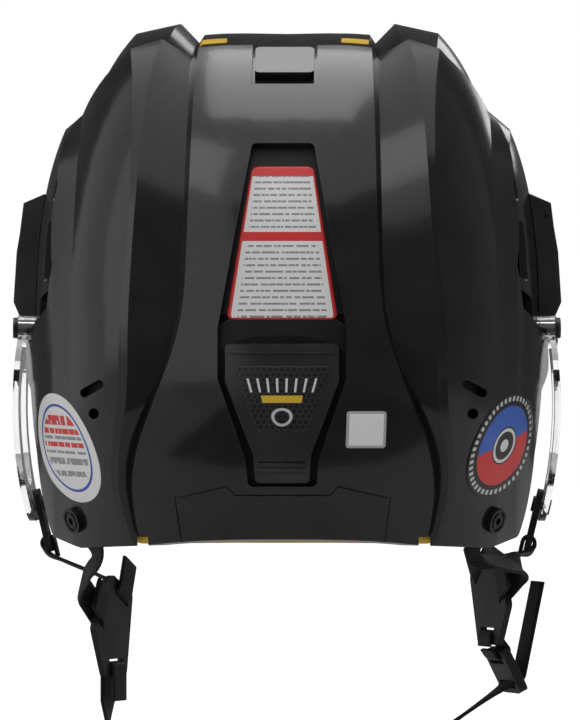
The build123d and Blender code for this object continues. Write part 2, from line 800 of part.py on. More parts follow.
with BuildPart() as occipital_pad:
    with Locations((0, -head_pad_shift, 0)):
        add(pad_shell.part)
    with BuildSketch(Plane.XZ):
        with Locations((0, head_pad_height)):
            RectangleRounded(*head_pad_size, pad_corner)
    extrude(amount=-rear_depth, mode=Mode.INTERSECT)
    with BuildSketch(adjuster_plane(post_depth + post_gap)):
        with Locations((0, (carrier_low + carrier_high) / 2 - post_half_width)):
            Rectangle(2 * (post_half_width + post_gap), 2 * (post_half_width + post_gap))
    extrude(amount=rear_depth, mode=Mode.SUBTRACT)
save(occipital_pad.part, "occipital_pad")

# Adjuster carrier with its post, and the screw that joins it to the slider
adjuster_screw_head = 3.2
adjuster_screw_head_height = 1.2
adjuster_screw_length = 7.0

with BuildPart() as occipital_carrier:
    with BuildSketch(adjuster_plane(stem_depth)):
        with Locations((0, (carrier_low + carrier_high) / 2)):
            RectangleRounded(2 * carrier_half_width, carrier_high - carrier_low, post_half_width / 2)
    extrude(amount=-carrier_thickness)
    with BuildSketch(adjuster_plane(stem_depth + carrier_thickness)):
        with Locations((0, (carrier_low + carrier_high) / 2 - post_half_width)):
            Rectangle(2 * post_half_width, 2 * post_half_width)
    extrude(amount=stem_depth + carrier_thickness - post_depth)
    with BuildSketch(adjuster_plane(stem_depth)):
        Circle(screw_core_radius + screw_clearance)
    extrude(amount=-rear_depth, mode=Mode.SUBTRACT)
    with BuildSketch(adjuster_plane(stem_depth + carrier_thickness)):
        Circle(adjuster_screw_head + screw_clearance * 3)
    extrude(amount=-rear_depth, mode=Mode.SUBTRACT)
save(occipital_carrier.part, "occipital_carrier")

with BuildPart() as adjuster_screw:
    with BuildSketch(adjuster_plane(stem_depth + carrier_thickness)):
        Circle(adjuster_screw_head)
    extrude(amount=-adjuster_screw_head_height)
    with BuildSketch(adjuster_plane(stem_depth + carrier_thickness)):
        Circle(screw_core_radius)
    extrude(amount=adjuster_screw_length)
save(adjuster_screw.part, "adjuster_screw")


def guard_x(height, inset=0):
    """How far out the ear guard's face stands at this height."""
    radius = guard_curve - inset
    return guard_centre + (radius ** 2 - (height - guard_middle) ** 2) ** 0.5


def mirrored(part):
    """The same piece on the other side of the helmet."""
    return mirror(part, about=Plane.YZ, mode=Mode.PRIVATE)


def on_side(part, side):
    return part if side > 0 else mirrored(part)


# Strap hooks, on a flat under the lower edge of each ear guard
hook_angle = 13.3
hook_middle = -10.0
hook_gap = 0.3
hook_thickness = 2.4
hook_width = 19.0
hook_top = 6.0
hook_bottom = -18.5
hook_slot_place = -12.6
hook_slot_height = 3.4
hook_corner = 3.0
rivet_radius = 1.6
rivet_head_radius = 3.0
rivet_head_height = 1.0
webbing_width = 13.0
webbing_thickness = 1.5


def hook_plane(depth):
    """The hook's flat on the left guard: X to the back, Y up the guard, Z outwards."""
    lean = radians(hook_angle)
    reach = guard_curve - guard_thickness - hook_gap - depth
    return Plane(
        origin=(guard_centre + reach * cos(lean), hook_middle, guard_middle - reach * sin(lean)),
        x_dir=(0, 1, 0), z_dir=(cos(lean), 0, -sin(lean)),
    )


# What the front shell takes up, with a small gap, cut from the pieces that are fixed on it
seat_depth = 12.0
head_seat_gap = 0.3

with BuildPart() as shell_seat:
    seat_inside = front_inside + seat_depth
    loft(sections=[section(index, front_skin - boss_gap, seat_inside) for index in range(0, 16)])

with BuildPart() as ear_guard:
    with BuildSketch(Plane.XZ.offset(-guard_back)):
        with BuildLine():
            outer = ThreePointArc(
                (guard_x(guard_top), guard_top), (guard_x(guard_middle), guard_middle),
                (guard_x(guard_bottom), guard_bottom)
            )
            inner = ThreePointArc(
                (guard_x(guard_top, guard_thickness), guard_top),
                (guard_x(guard_middle, guard_thickness), guard_middle),
                (guard_x(guard_bottom, guard_thickness), guard_bottom)
            )
            Line(outer @ 0, inner @ 0)
            Line(outer @ 1, inner @ 1)
        make_face()
    extrude(amount=guard_back - guard_front)
    with BuildSketch(Plane.YZ) as guard_side:
        with Locations(((guard_front + guard_back) / 2, (guard_top + guard_bottom) / 2)):
            Rectangle(guard_back - guard_front, guard_top - guard_bottom)
        fillet(guard_side.vertices().group_by(Axis.Z)[0], guard_corner)
        fillet(guard_side.vertices().group_by(Axis.Z)[-1], boss_radius)
    extrude(amount=cut_reach, mode=Mode.INTERSECT)
    with BuildSketch(Plane.YZ):
        with Locations(ear_hole_centre):
            RectangleRounded(ear_hole_width, ear_hole_height, ear_hole_corner)
    extrude(amount=cut_reach, mode=Mode.SUBTRACT)
    for angle, share in ear_screw_shares:
        with BuildSketch(skin_plane(angle, share, 1, front_skin)):
            Circle(boss_radius)
        extrude(amount=front_skin + boss_top)
    add(shell_seat.part, mode=Mode.SUBTRACT)
    for angle, share in ear_screw_shares:
        with BuildSketch(skin_plane(angle, share, 1, -overrun / 2)):
            Circle(screw_radius + screw_clearance)
        extrude(amount=-overrun, mode=Mode.SUBTRACT)
        with BuildSketch(skin_plane(angle, share, 1, -boss_top)):
            Circle(ear_head_radius + head_seat_gap)
        extrude(amount=overrun, mode=Mode.SUBTRACT)
    with BuildSketch(hook_plane(0)):
        Circle(rivet_radius + screw_clearance)
    extrude(amount=guard_thickness * 3, both=True, mode=Mode.SUBTRACT)

with BuildPart() as strap_hook:
    with BuildSketch(hook_plane(0)) as hook_face:
        with Locations((0, (hook_top + hook_bottom) / 2)):
            RectangleRounded(hook_width, hook_top - hook_bottom, hook_corner)
        with Locations((0, hook_slot_place)):
            slot_width = webbing_width + hook_gap * 4
            RectangleRounded(slot_width, hook_slot_height, hook_corner / 3, mode=Mode.SUBTRACT)
        Circle(rivet_radius + screw_clearance, mode=Mode.SUBTRACT)
    extrude(amount=-hook_thickness)

with BuildPart() as hook_rivet:
    with BuildSketch(hook_plane(hook_thickness)):
        Circle(rivet_head_radius)
    extrude(amount=-rivet_head_height)
    with BuildSketch(hook_plane(hook_thickness)):
        Circle(rivet_radius)
    extrude(amount=hook_thickness + 2 * hook_gap + guard_thickness)
    with BuildSketch(hook_plane(-2 * hook_gap - guard_thickness)):
        Circle(rivet_head_radius)
    extrude(amount=rivet_head_height)

for name, side in sides.items():
    save(on_side(ear_guard.part, side), f"ear_guard_{name}")
    save(on_side(strap_hook.part, side), f"strap_hook_{name}")

with BuildPart() as hook_rivets:
    add(hook_rivet.part)
    add(mirrored(hook_rivet.part))
save(hook_rivets.part, "hook_rivets")

# Ear guard screws and nuts, two to a side
nut_seat = 0.3

with BuildPart() as ear_guard_screws:
    for side in sides.values():
        for angle, share in ear_screw_shares:
            with BuildSketch(skin_plane(angle, share, side, -boss_top)):
                Circle(ear_head_radius)
            extrude(amount=ear_head_height)
            with BuildSketch(skin_plane(angle, share, side, -boss_top)):
                Circle(screw_radius)
            extrude(amount=-boss_top - front_inside - nut_seat - nut_height)
            with BuildSketch(skin_plane(angle, share, side, -boss_top - ear_head_height)):
                Rectangle(2 * drive_radius * 2, slot_drive_width)
                Rectangle(slot_drive_width, 2 * drive_radius * 2)
            extrude(amount=-drive_depth, mode=Mode.SUBTRACT)
save(ear_guard_screws.part, "ear_guard_screws")

with BuildPart() as ear_guard_nuts:
    for side in sides.values():
        for angle, share in ear_screw_shares:
            with BuildSketch(skin_plane(angle, share, side, front_inside + nut_seat)):
                Circle(nut_radius)
                Circle(screw_radius + screw_clearance, mode=Mode.SUBTRACT)
            extrude(amount=-nut_height)
save(ear_guard_nuts.part, "ear_guard_nuts")

# Face cage nuts: threaded sleeves behind the brow and temple holes
sleeve_gap = 0.1
cage_thread_radius = 1.9

with BuildPart() as cage_nuts:
    for side in sides.values():
        for angle, share in cage_hole_shares:
            with BuildSketch(skin_plane(angle, share, side, front_inside + nut_seat)):
                Circle(nut_radius)
            extrude(amount=-nut_height)
            with BuildSketch(skin_plane(angle, share, side, front_skin)):
                Circle(cage_hole_radius - sleeve_gap)
            extrude(amount=-front_wall - nut_seat)
            with BuildSketch(skin_plane(angle, share, side, 0)):
                Circle(cage_thread_radius)
            extrude(amount=-overrun, mode=Mode.SUBTRACT)
save(cage_nuts.part, "cage_nuts")

# Strap screws and nuts
with BuildPart() as strap_screws:
    for side in sides.values():
        with BuildSketch(skin_plane(strap_screw_angle, strap_screw_share, side, -seat_gap)):
            Circle(strap_head_radius)
        extrude(amount=strap_head_height)
        with BuildSketch(skin_plane(strap_screw_angle, strap_screw_share, side, -seat_gap)):
            Circle(screw_radius)
        extrude(amount=-seat_gap * 3 - shell_wall - strap_seat - webbing_thickness - nut_height)
        face = skin_plane(strap_screw_angle, strap_screw_share, side, -seat_gap - strap_head_height)
        with BuildSketch(face):
            Circle(ring_radii[0])
            Circle(ring_radii[1], mode=Mode.SUBTRACT)
        extrude(amount=-ring_depth, mode=Mode.SUBTRACT)
        with BuildSketch(face):
            RegularPolygon(drive_radius, 6)
        extrude(amount=-drive_depth, mode=Mode.SUBTRACT)
save(strap_screws.part, "strap_screws")

with BuildPart() as strap_nuts:
    for side in sides.values():
        nut_depth = shell_wall + strap_seat + webbing_thickness + seat_gap
        with BuildSketch(skin_plane(strap_screw_angle, strap_screw_share, side, nut_depth)):
            Circle(nut_radius)
            Circle(screw_radius + screw_clearance, mode=Mode.SUBTRACT)
        extrude(amount=-nut_height)
save(strap_nuts.part, "strap_nuts")

# Side latches: a base on the front shell, a lever between its cheeks and a pin
latch_half_length = 20.0
latch_cheek = 3.2
latch_gap = 0.4
pin_radius = 1.1
pin_clearance = 0.05
lever_top_radius = 2.3
pin_place_shares = (.9859, .486)
latch_base_shares = (
    (.8844, .549), (.9106, .549), (1.001, .5217), (1.001, .5077), (.9548, .5077),
    (.9548, .4476), (.9769, .4336), (.991, .2168), (.8844, .2168),
)
latch_cheek_shares = (
    (.9106, .549), (1.004, .5203), (1.0271, .3916), (1.0352, .2622), (1.0111, .2168), (.9106, .2168),
)
latch_lever_shares = (
    (.9804, .4364), (.995, .2238), (1.0151, .2112), (1.0442, .2587), (1.0322, .3916), (1.009, .486),
)
pin_place = rear_points((pin_place_shares,))[0]

with BuildPart() as latch_base:
    with BuildSketch(Plane.XZ.offset(-latch_half_length)):
        with BuildLine():
            Polyline(*rear_points(latch_base_shares), close=True)
        make_face()
    extrude(amount=2 * latch_half_length)
    for start in (latch_half_length, latch_cheek - latch_half_length):
        with BuildSketch(Plane.XZ.offset(-start)):
            with BuildLine():
                Polyline(*rear_points(latch_cheek_shares), close=True)
            make_face()
        extrude(amount=latch_cheek)
    add(shell_seat.part, mode=Mode.SUBTRACT)
    with BuildSketch(Plane.XZ.offset(-2 * latch_half_length)):
        with Locations(pin_place):
            Circle(pin_radius + pin_clearance)
    extrude(amount=4 * latch_half_length, mode=Mode.SUBTRACT)

with BuildPart() as side_latch:
    lever_half = latch_half_length - latch_cheek - latch_gap
    with BuildSketch(Plane.XZ.offset(-lever_half)):
        with BuildLine():
            Polyline(*rear_points(latch_lever_shares), pin_place, close=True)
        make_face()
        with Locations(pin_place):
            Circle(lever_top_radius)
    extrude(amount=2 * lever_half)
    with BuildSketch(Plane.XZ.offset(-2 * latch_half_length)):
        with Locations(pin_place):
            Circle(pin_radius + pin_clearance)
    extrude(amount=4 * latch_half_length, mode=Mode.SUBTRACT)

with BuildPart() as latch_pin:
    with BuildSketch(Plane.XZ.offset(-latch_half_length)):
        with Locations(pin_place):
            Circle(pin_radius)
    extrude(amount=2 * latch_half_length)

for name, side in sides.items():
    save(on_side(latch_base.part, side), f"latch_base_{name}")
    save(on_side(side_latch.part, side), f"side_latch_{name}")

with BuildPart() as latch_pins:
    add(latch_pin.part)
    add(mirrored(latch_pin.part))
save(latch_pins.part, "latch_pins")

# Strap yokes, where the rear, front and chin straps meet under each ear
yoke_place_shares = {"left": (.663, .118, -.608), "right": (-.774, .118, -.5245)}
chin_low_shares = (-.05, -.189, -1.063)
yoke_turn = 20.0
yoke_thickness = 2.6
yoke_rim = 3.2
yoke_slot_reach = 13.0
yoke_slot_height = 3.2
yoke_slot_width = webbing_width + hook_gap * 4
yoke_corner = 2.0
strap_bend = yoke_thickness / 2 + webbing_thickness / 2 + hook_gap
strap_tail = 12.0
tab_above = 8.0
tab_below = 11.0
bridge_steps = 8
bend_steps = 6


def strap_place(shares):
    """A place of the straps, from shares of the shell's half width, rear depth and height."""
    return Vector(shares[0] * half_width, shares[1] * rear_depth, shares[2] * crown_height)


yoke_centres = {name: strap_place(shares) for name, shares in yoke_place_shares.items()}
chin_low = strap_place(chin_low_shares)


def yoke_frame(side):
    """The yoke's outward direction and its direction to the back."""
    turn = radians(yoke_turn)
    return Vector(side * cos(turn), -sin(turn), 0), Vector(side * sin(turn), cos(turn), 0)


def tab_frame(side):
    """The rear strap's end under its screw: its middle, its outward direction and its direction down."""
    depth = shell_wall + strap_seat + webbing_thickness / 2
    spot = skin_plane(strap_screw_angle, strap_screw_share, side, depth)
    down = Vector(0, 0, -1)
    down = (down - spot.z_dir * down.dot(spot.z_dir)).normalized()
    return spot.origin, spot.z_dir, down


def hook_bar(side):
    """The middle of the hook's slot, the hook's outward direction and its direction down."""
    flat = hook_plane(hook_thickness / 2)
    middle = flat.origin + flat.y_dir * hook_slot_place
    out = flat.z_dir
    down = -flat.y_dir
    if side < 0:
        middle = Vector(-middle.X, middle.Y, middle.Z)
        out = Vector(-out.X, out.Y, out.Z)
        down = Vector(-down.X, down.Y, down.Z)
    return middle, out, down


def slot_direction(name, side, target):
    """The direction in the yoke's plane from its middle to what a strap comes from."""
    out, back = yoke_frame(side)
    away = target - yoke_centres[name]
    return (back * away.dot(back) + Vector(0, 0, 1) * away.Z).normalized()


def loop_end(middle, out, along, slot_reach, tail):
    """Stops of a strap that comes in along the outside, turns through a slot and runs back inside."""
    bar = middle + along * (slot_reach + strap_bend)
    stops = wrap(bar, out, along, strap_bend, bend_steps)
    return [*stops, (bar - out * strap_bend + along * tail, -out)]


yokes = {}
for name, side in sides.items():
    out, back = yoke_frame(side)
    centre = yoke_centres[name]
    tab_middle, tab_out, tab_down = tab_frame(side)
    bar_middle, hook_out, hook_down = hook_bar(side)
    directions = (
        slot_direction(name, side, tab_middle + tab_down * tab_below),
        slot_direction(name, side, bar_middle),
        Vector(0, 0, -1),
    )
    face = Plane(origin=centre - out * (yoke_thickness / 2), x_dir=back, z_dir=out)
    with BuildPart() as yoke:
        with BuildSketch(face) as plate:
            for direction in directions:
                place = face.to_local_coords(centre + direction * yoke_slot_reach)
                turn = degrees(atan2(place.Y, place.X)) - 90
                with Locations(Location((place.X, place.Y, 0), (0, 0, turn))):
                    Rectangle(yoke_slot_width + 2 * yoke_rim, yoke_slot_height + 2 * yoke_rim)
            make_hull()
            fillet(plate.vertices(), yoke_corner)
        extrude(amount=yoke_thickness)
        for direction in directions:
            place = face.to_local_coords(centre + direction * yoke_slot_reach)
            turn = degrees(atan2(place.Y, place.X)) - 90
            with BuildSketch(face):
                with Locations(Location((place.X, place.Y, 0), (0, 0, turn))):
                    Rectangle(yoke_slot_width, yoke_slot_height)
            extrude(amount=yoke_thickness, mode=Mode.SUBTRACT)
    save(yoke.part, f"strap_yoke_{name}")

    rear_along = directions[0]
    front_along = directions[1]
    sag = (tab_middle - centre).length / 2
    tab_end = tab_middle + tab_down * tab_below
    rear_start = centre + out * strap_bend + rear_along * (yoke_slot_reach + strap_bend + strap_tail)
    rear_stops = [(tab_middle - tab_down * tab_above, tab_out), (tab_end, tab_out)]
    rear_stops += bridge(tab_end, tab_down * sag, rear_start, -rear_along * sag, tab_out, out, bridge_steps)
    rear_stops += [(rear_start, out), *loop_end(centre, out, rear_along, yoke_slot_reach, strap_tail)]
    rear_part = ribbon(rear_stops, webbing_width, webbing_thickness)
    with BuildPart() as strap_rear:
        add(rear_part)
        with BuildSketch(skin_plane(strap_screw_angle, strap_screw_share, side, 0)):
            Circle(screw_radius + screw_clearance)
        extrude(amount=-2 * shell_wall - strap_seat - webbing_thickness, mode=Mode.SUBTRACT)
    save(strap_rear.part, f"strap_rear_{name}")

    hook_turn = bar_middle + hook_down * strap_bend
    front_leave = hook_turn + hook_out * strap_bend + hook_down * strap_tail / 2
    front_start = centre + out * strap_bend + front_along * (yoke_slot_reach + strap_bend + strap_tail / 2)
    span = (front_leave - front_start).length
    first = list(reversed(wrap(hook_turn, hook_out, hook_down, strap_bend, bend_steps)))
    front_stops = [(hook_turn - hook_out * strap_bend + hook_down * strap_tail / 2, -hook_out), *first]
    front_stops += [(front_leave, hook_out)]
    front_stops += bridge(
        front_leave, hook_down * span, front_start, -front_along * span, hook_out, out, bridge_steps
    )
    front_stops += [(front_start, out), *loop_end(centre, out, front_along, yoke_slot_reach, strap_tail)]
    save(ribbon(front_stops, webbing_width, webbing_thickness), f"strap_front_{name}")
    yokes[name] = (centre, out)

# Buckle under the right yoke, with the webbing link that carries it
buckle_lean = 27.0
buckle_height = 18.0
buckle_thickness = 3.6
buckle_rim = 2.9
buckle_slot_place = 5.2
buckle_slot_height = 3.4
buckle_corner = 2.5
buckle_bend = buckle_thickness / 2 + webbing_thickness / 2 + hook_gap * 1.5
link_length = 5.5
link_gap = 0.8
tail_turn = 51
tail_radius = 3.0
tail_length = 36.0
chin_lead = 3.4

hang = Vector(0, 0, -1)
right_centre, right_out = yokes["right"]
yoke_bar = right_centre + hang * (yoke_slot_reach + strap_bend)
buckle_down = (right_out * sin(radians(buckle_lean)) + hang * cos(radians(buckle_lean))).normalized()
buckle_out = (right_out * cos(radians(buckle_lean)) - hang * sin(radians(buckle_lean))).normalized()
buckle_bar = yoke_bar + buckle_down * link_length
buckle_centre = buckle_bar + buckle_down * (buckle_slot_place + buckle_bend)
buckle_back = buckle_out.cross(buckle_down)

with BuildPart() as strap_buckle:
    with BuildSketch(
        Plane(origin=buckle_centre - buckle_out * (buckle_thickness / 2), x_dir=buckle_back, z_dir=buckle_out)
    ):
        RectangleRounded(yoke_slot_width + 2 * buckle_rim, buckle_height, buckle_corner)
        with Locations((0, buckle_slot_place), (0, -buckle_slot_place)):
            Rectangle(yoke_slot_width, buckle_slot_height, mode=Mode.SUBTRACT)
    extrude(amount=buckle_thickness)
save(strap_buckle.part, "strap_buckle")

link_stops = wrap(buckle_bar, -buckle_out, -buckle_down, buckle_bend, bend_steps)
link_stops += wrap(yoke_bar, right_out, hang, strap_bend, bend_steps)
link_turn = yoke_bar - right_out * strap_bend + hang * yoke_rim
link_along = (link_stops[0][0] - link_turn).normalized()
link_stops = [(link_turn + link_along * 2 * link_gap, -buckle_out), *link_stops]
link_stops += [(link_turn, -right_out)]
save(ribbon(link_stops, webbing_width, webbing_thickness), "strap_link")

# Chin strap, from the left yoke under the chin, up through the buckle and on as its free end
left_centre, left_out = yokes["left"]
left_stops = list(reversed(loop_end(left_centre, left_out, hang, yoke_slot_reach, strap_tail)))
left_top = left_centre + left_out * strap_bend + hang * (yoke_slot_reach + strap_bend + strap_tail)
drop = left_top.Z - chin_low.Z
lower_slot = buckle_centre + buckle_down * buckle_slot_place
slot_entry = lower_slot - buckle_out * chin_lead
slot_exit = lower_slot + buckle_out * (buckle_thickness / 2)
reach_over = Vector(slot_entry.X - left_top.X, 0, 0) * 0.5
chin_stops = [*left_stops, (left_top, left_out)]
chin_stops += bridge(left_top, hang * drop * 1.5, chin_low, reach_over, left_out, hang, 2 * bridge_steps)
chin_stops += [(chin_low, hang)]
chin_stops += bridge(chin_low, reach_over, slot_entry, buckle_out * drop, hang, buckle_down, 2 * bridge_steps)
chin_stops += [(slot_entry, buckle_down)]
tail_centre = slot_exit - buckle_down * tail_radius
for number in range(bend_steps + 1):
    turn = radians(tail_turn * number / bend_steps)
    spoke = buckle_down * cos(turn) + buckle_out * sin(turn)
    chin_stops.append((tail_centre + spoke * tail_radius, spoke))
tail_along = buckle_out * cos(turn) - buckle_down * sin(turn)
chin_stops.append((chin_stops[-1][0] + tail_along * tail_length, spoke))
save(ribbon(chin_stops, webbing_width, webbing_thickness), "chin_strap")
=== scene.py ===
# %% [markdown]
# # An ice hockey helmet, seen from behind
# The helmet is two plastic shells that slide over each other, foam blocks inside them, a small
# adjuster at the back of the neck, clear ear guards and webbing straps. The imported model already
# holds every rigid part at its real size, so this script starts from it: it gives those parts
# their finishes, and builds the soft parts, the labels and the stitching around them.

import bmesh
import bpy
import numpy as np
from mathutils import Matrix, Vector


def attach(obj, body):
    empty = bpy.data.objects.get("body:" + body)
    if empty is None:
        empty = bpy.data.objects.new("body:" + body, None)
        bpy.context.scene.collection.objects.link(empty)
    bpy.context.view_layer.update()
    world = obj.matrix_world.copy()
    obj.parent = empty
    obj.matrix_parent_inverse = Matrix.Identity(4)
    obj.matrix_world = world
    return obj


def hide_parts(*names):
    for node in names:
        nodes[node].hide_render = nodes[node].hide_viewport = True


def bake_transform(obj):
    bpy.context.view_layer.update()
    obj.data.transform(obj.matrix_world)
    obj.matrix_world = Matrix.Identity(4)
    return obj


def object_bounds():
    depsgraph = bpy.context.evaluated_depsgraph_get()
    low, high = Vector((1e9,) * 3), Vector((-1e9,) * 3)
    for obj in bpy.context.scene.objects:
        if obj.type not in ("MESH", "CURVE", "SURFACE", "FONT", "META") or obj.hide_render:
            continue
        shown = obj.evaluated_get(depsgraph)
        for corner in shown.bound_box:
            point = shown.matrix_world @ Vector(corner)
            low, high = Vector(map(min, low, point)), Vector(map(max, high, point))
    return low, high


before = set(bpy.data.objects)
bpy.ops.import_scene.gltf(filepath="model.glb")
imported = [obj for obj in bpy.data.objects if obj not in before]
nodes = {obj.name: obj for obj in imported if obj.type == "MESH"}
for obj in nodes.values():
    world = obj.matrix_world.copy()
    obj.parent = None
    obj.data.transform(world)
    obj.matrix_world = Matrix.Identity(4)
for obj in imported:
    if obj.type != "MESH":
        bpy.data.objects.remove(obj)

cad_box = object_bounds()
mm = 0.001
print(len(nodes), "parts,", "box", [[round(v, 4) for v in corner] for corner in cad_box])

# %% Objects and meshes
def new_object(name, data):
    """An object at the origin, linked to the scene."""
    made = bpy.data.objects.new(name, data)
    bpy.context.scene.collection.objects.link(made)
    return made


def smooth_faces(mesh):
    mesh.polygons.foreach_set("use_smooth", [True] * len(mesh.polygons))


def mesh_piece(name, points, faces):
    """Puts arrays of points and faces into a new, smooth mesh object at the origin."""
    mesh = bpy.data.meshes.new(name)
    mesh.from_pydata(np.asarray(points, float).reshape(-1, 3).tolist(), [], faces)
    smooth_faces(mesh)
    mesh.update()
    return new_object(name, mesh)


def evaluated(piece):
    """A new mesh of the piece as its modifiers leave it."""
    return bpy.data.meshes.new_from_object(piece.evaluated_get(bpy.context.evaluated_depsgraph_get()))


def points_of(mesh):
    """All points of a mesh as one array."""
    flat = np.empty(len(mesh.vertices) * 3)
    mesh.vertices.foreach_get("co", flat)
    return flat.reshape(-1, 3)


def normals_of(mesh):
    """All point normals of a mesh as one array."""
    flat = np.empty(len(mesh.vertices) * 3)
    mesh.vertex_normals.foreach_get("vector", flat)
    return flat.reshape(-1, 3)


def put_points(mesh, points):
    mesh.vertices.foreach_set("co", points.reshape(-1))
    mesh.update()


def map_points(piece, name, pairs):
    """A UV map that gives every face corner the pair of its point."""
    corner = np.empty(len(piece.data.loops), np.int64)
    piece.data.loops.foreach_get("vertex_index", corner)
    layer = piece.data.uv_layers.new(name=name)
    layer.data.foreach_set("uv", pairs[corner].reshape(-1))


# %% [markdown]
# ## The camera
# The photograph is taken level, from almost straight behind, and shows hardly any perspective: the
# near and far edges of the shell line up. A long lens at three metres gives that flat look. The
# shell is 199 mm wide and covers 531 of the picture's pixels, so one pixel is 0.375 mm. The middle
# of the back stands a few pixels left of the middle of the outline, and one more row of vents
# shows on the right, so the camera stands one degree round to the wearer's right.

# %% Camera straight behind
pixel = 0.375 * mm
picture_height = 720
camera_distance = 3.0
camera_depth = 0.05
camera_across = -0.75 * mm
camera_height = 15 * mm
camera_turn = np.radians(1.0)
sensor = 36.0

lens = bpy.data.cameras.new("camera")
lens.sensor_width = sensor
lens.lens = sensor * camera_distance / (picture_height * pixel)
camera = new_object("camera", lens)
reach = camera_depth + camera_distance
camera.location = (camera_across - reach * np.sin(camera_turn), reach * np.cos(camera_turn), camera_height)
camera.rotation_euler = (np.pi / 2, 0, np.pi + camera_turn)
bpy.context.scene.camera = camera
bpy.context.scene.view_settings.view_transform = "Standard"
print("lens", round(lens.lens, 1), "mm")

# %% [markdown]
# ## Light, world and floor
# Black plastic shows hardly any colour of its own. What we see on it are reflections, so the
# lamps are placed by what the shell has to mirror: a long softbox overhead makes the pale band
# that fades down the middle panel, and a smaller one on the left makes that side a little
# lighter. The world is white where it is looked at, mirrored or seen through the clear guards.
# Dark cards stand where a studio is dark. Only reflections see them, so that the shell's sides
# and ridges turn black between the pale bands, as they do in the photograph.

# %% Studio light
def softbox(name, place, target, size, radiance):
    """A rectangular lamp. Its power is radiance times area times pi."""
    lamp = bpy.data.lights.new(name, "AREA")
    lamp.shape = "RECTANGLE"
    lamp.size, lamp.size_y = size
    lamp.energy = radiance * size[0] * size[1] * np.pi
    holder = new_object(name, lamp)
    holder.location = place
    holder.rotation_euler = (Vector(target) - Vector(place)).to_track_quat("-Z", "Y").to_euler()


middle_of_helmet = (0, 0, 0.04)
softbox("overhead", (-0.03, -0.25, 1.35), middle_of_helmet, (0.55, 1.2), 2.6)
softbox("behind_above", (0.7, 1.15, 1.85), middle_of_helmet, (0.7, 0.8), 1.6)
softbox("left_side", (1.5, 0.7, 0.5), middle_of_helmet, (0.7, 0.9), 0.6)
softbox("right_front", (-0.55, -1.55, 0.65), middle_of_helmet, (0.45, 0.7), 1.6)

# %% Shader nodes
def fill(node, values):
    """Gives each named input of a node a link, a value or a colour of three numbers."""
    for key, value in values.items():
        socket = node.inputs[key]
        if isinstance(value, bpy.types.NodeSocket):
            node.id_data.links.new(value, socket)
        else:
            socket.default_value = (*value, 1) if socket.type == "RGBA" else value


def add(tree, kind, values=None, **settings):
    """Adds a shader node, with its settings first and then its inputs."""
    node = tree.nodes.new(kind)
    for key, value in settings.items():
        setattr(node, key, value)
    fill(node, values or {})
    return node


def maths(operation, *values):
    """One Math node. Each value is a link or a number, and the first link says which tree it is in."""
    tree = next(value.id_data for value in values if isinstance(value, bpy.types.NodeSocket))
    return add(tree, "ShaderNodeMath", dict(enumerate(values)), operation=operation).outputs[0]


def folded(operation, *values):
    """All the values combined by Math nodes, two at a time."""
    result = values[0]
    for value in values[1:]:
        result = maths(operation, result, value)
    return result


def times(*values):
    """The product of the values."""
    return folded("MULTIPLY", *values)


def plus(*values):
    """The sum of the values."""
    return folded("ADD", *values)


def between(value, low, high):
    """1 where the value lies between two limits, else 0."""
    return times(maths("GREATER_THAN", value, low), maths("LESS_THAN", value, high))


def within(value, limit):
    """1 where the value is nearer to zero than the limit, else 0."""
    return maths("LESS_THAN", maths("ABSOLUTE", value), limit)


def ranged(value, low, high, to_low=0.0, to_high=1.0):
    """The value carried from one range to another and held inside it."""
    values = {0: value, 1: low, 2: high, 3: to_low, 4: to_high}
    return add(value.id_data, "ShaderNodeMapRange", values).outputs[0]


def noise(vector, scale, detail):
    """Noise between 0 and 1."""
    values = {"Vector": vector, "Scale": scale, "Detail": detail}
    return add(vector.id_data, "ShaderNodeTexNoise", values).outputs[0]


def parts_of(vector):
    """The X, Y and Z of a vector, by their letters."""
    return add(vector.id_data, "ShaderNodeSeparateXYZ", {0: vector}).outputs


def over(below, mask, colour):
    """A colour laid over what is below, as far as the mask says."""
    return add(mask.id_data, "ShaderNodeMix", {0: mask, 6: below, 7: colour}, data_type="RGBA").outputs[2]


def new_material(name):
    """A material, its shader, and the place on the object that the shader is at."""
    material = bpy.data.materials.new(name)
    material.use_nodes = True
    tree = material.node_tree
    return material, tree.nodes["Principled BSDF"], add(tree, "ShaderNodeTexCoord").outputs["Object"]


def bump(shader, distance, height, strength=1.0):
    """Bends the shader's normal as the height rises and falls."""
    values = {"Strength": strength, "Distance": distance, "Height": height}
    fill(shader, {"Normal": add(shader.id_data, "ShaderNodeBump", values).outputs[0]})


# %% White surroundings
ambient_light = 0.5
world = bpy.data.worlds.new("studio")
world.use_nodes = True
bpy.context.scene.world = world
sky = world.node_tree
sky.nodes.clear()
ray = add(sky, "ShaderNodeLightPath").outputs
looked_at = folded("MAXIMUM", ray["Is Camera Ray"], ray["Is Glossy Ray"], ray["Is Transmission Ray"])
grey = add(sky, "ShaderNodeBackground", {"Color": (1, 1, 1), "Strength": ambient_light})
white = add(sky, "ShaderNodeBackground", {"Color": (1, 1, 1), "Strength": 1.0})
mixed = add(sky, "ShaderNodeMixShader", {0: looked_at, 1: grey.outputs[0], 2: white.outputs[0]})
add(sky, "ShaderNodeOutputWorld", {"Surface": mixed.outputs[0]})

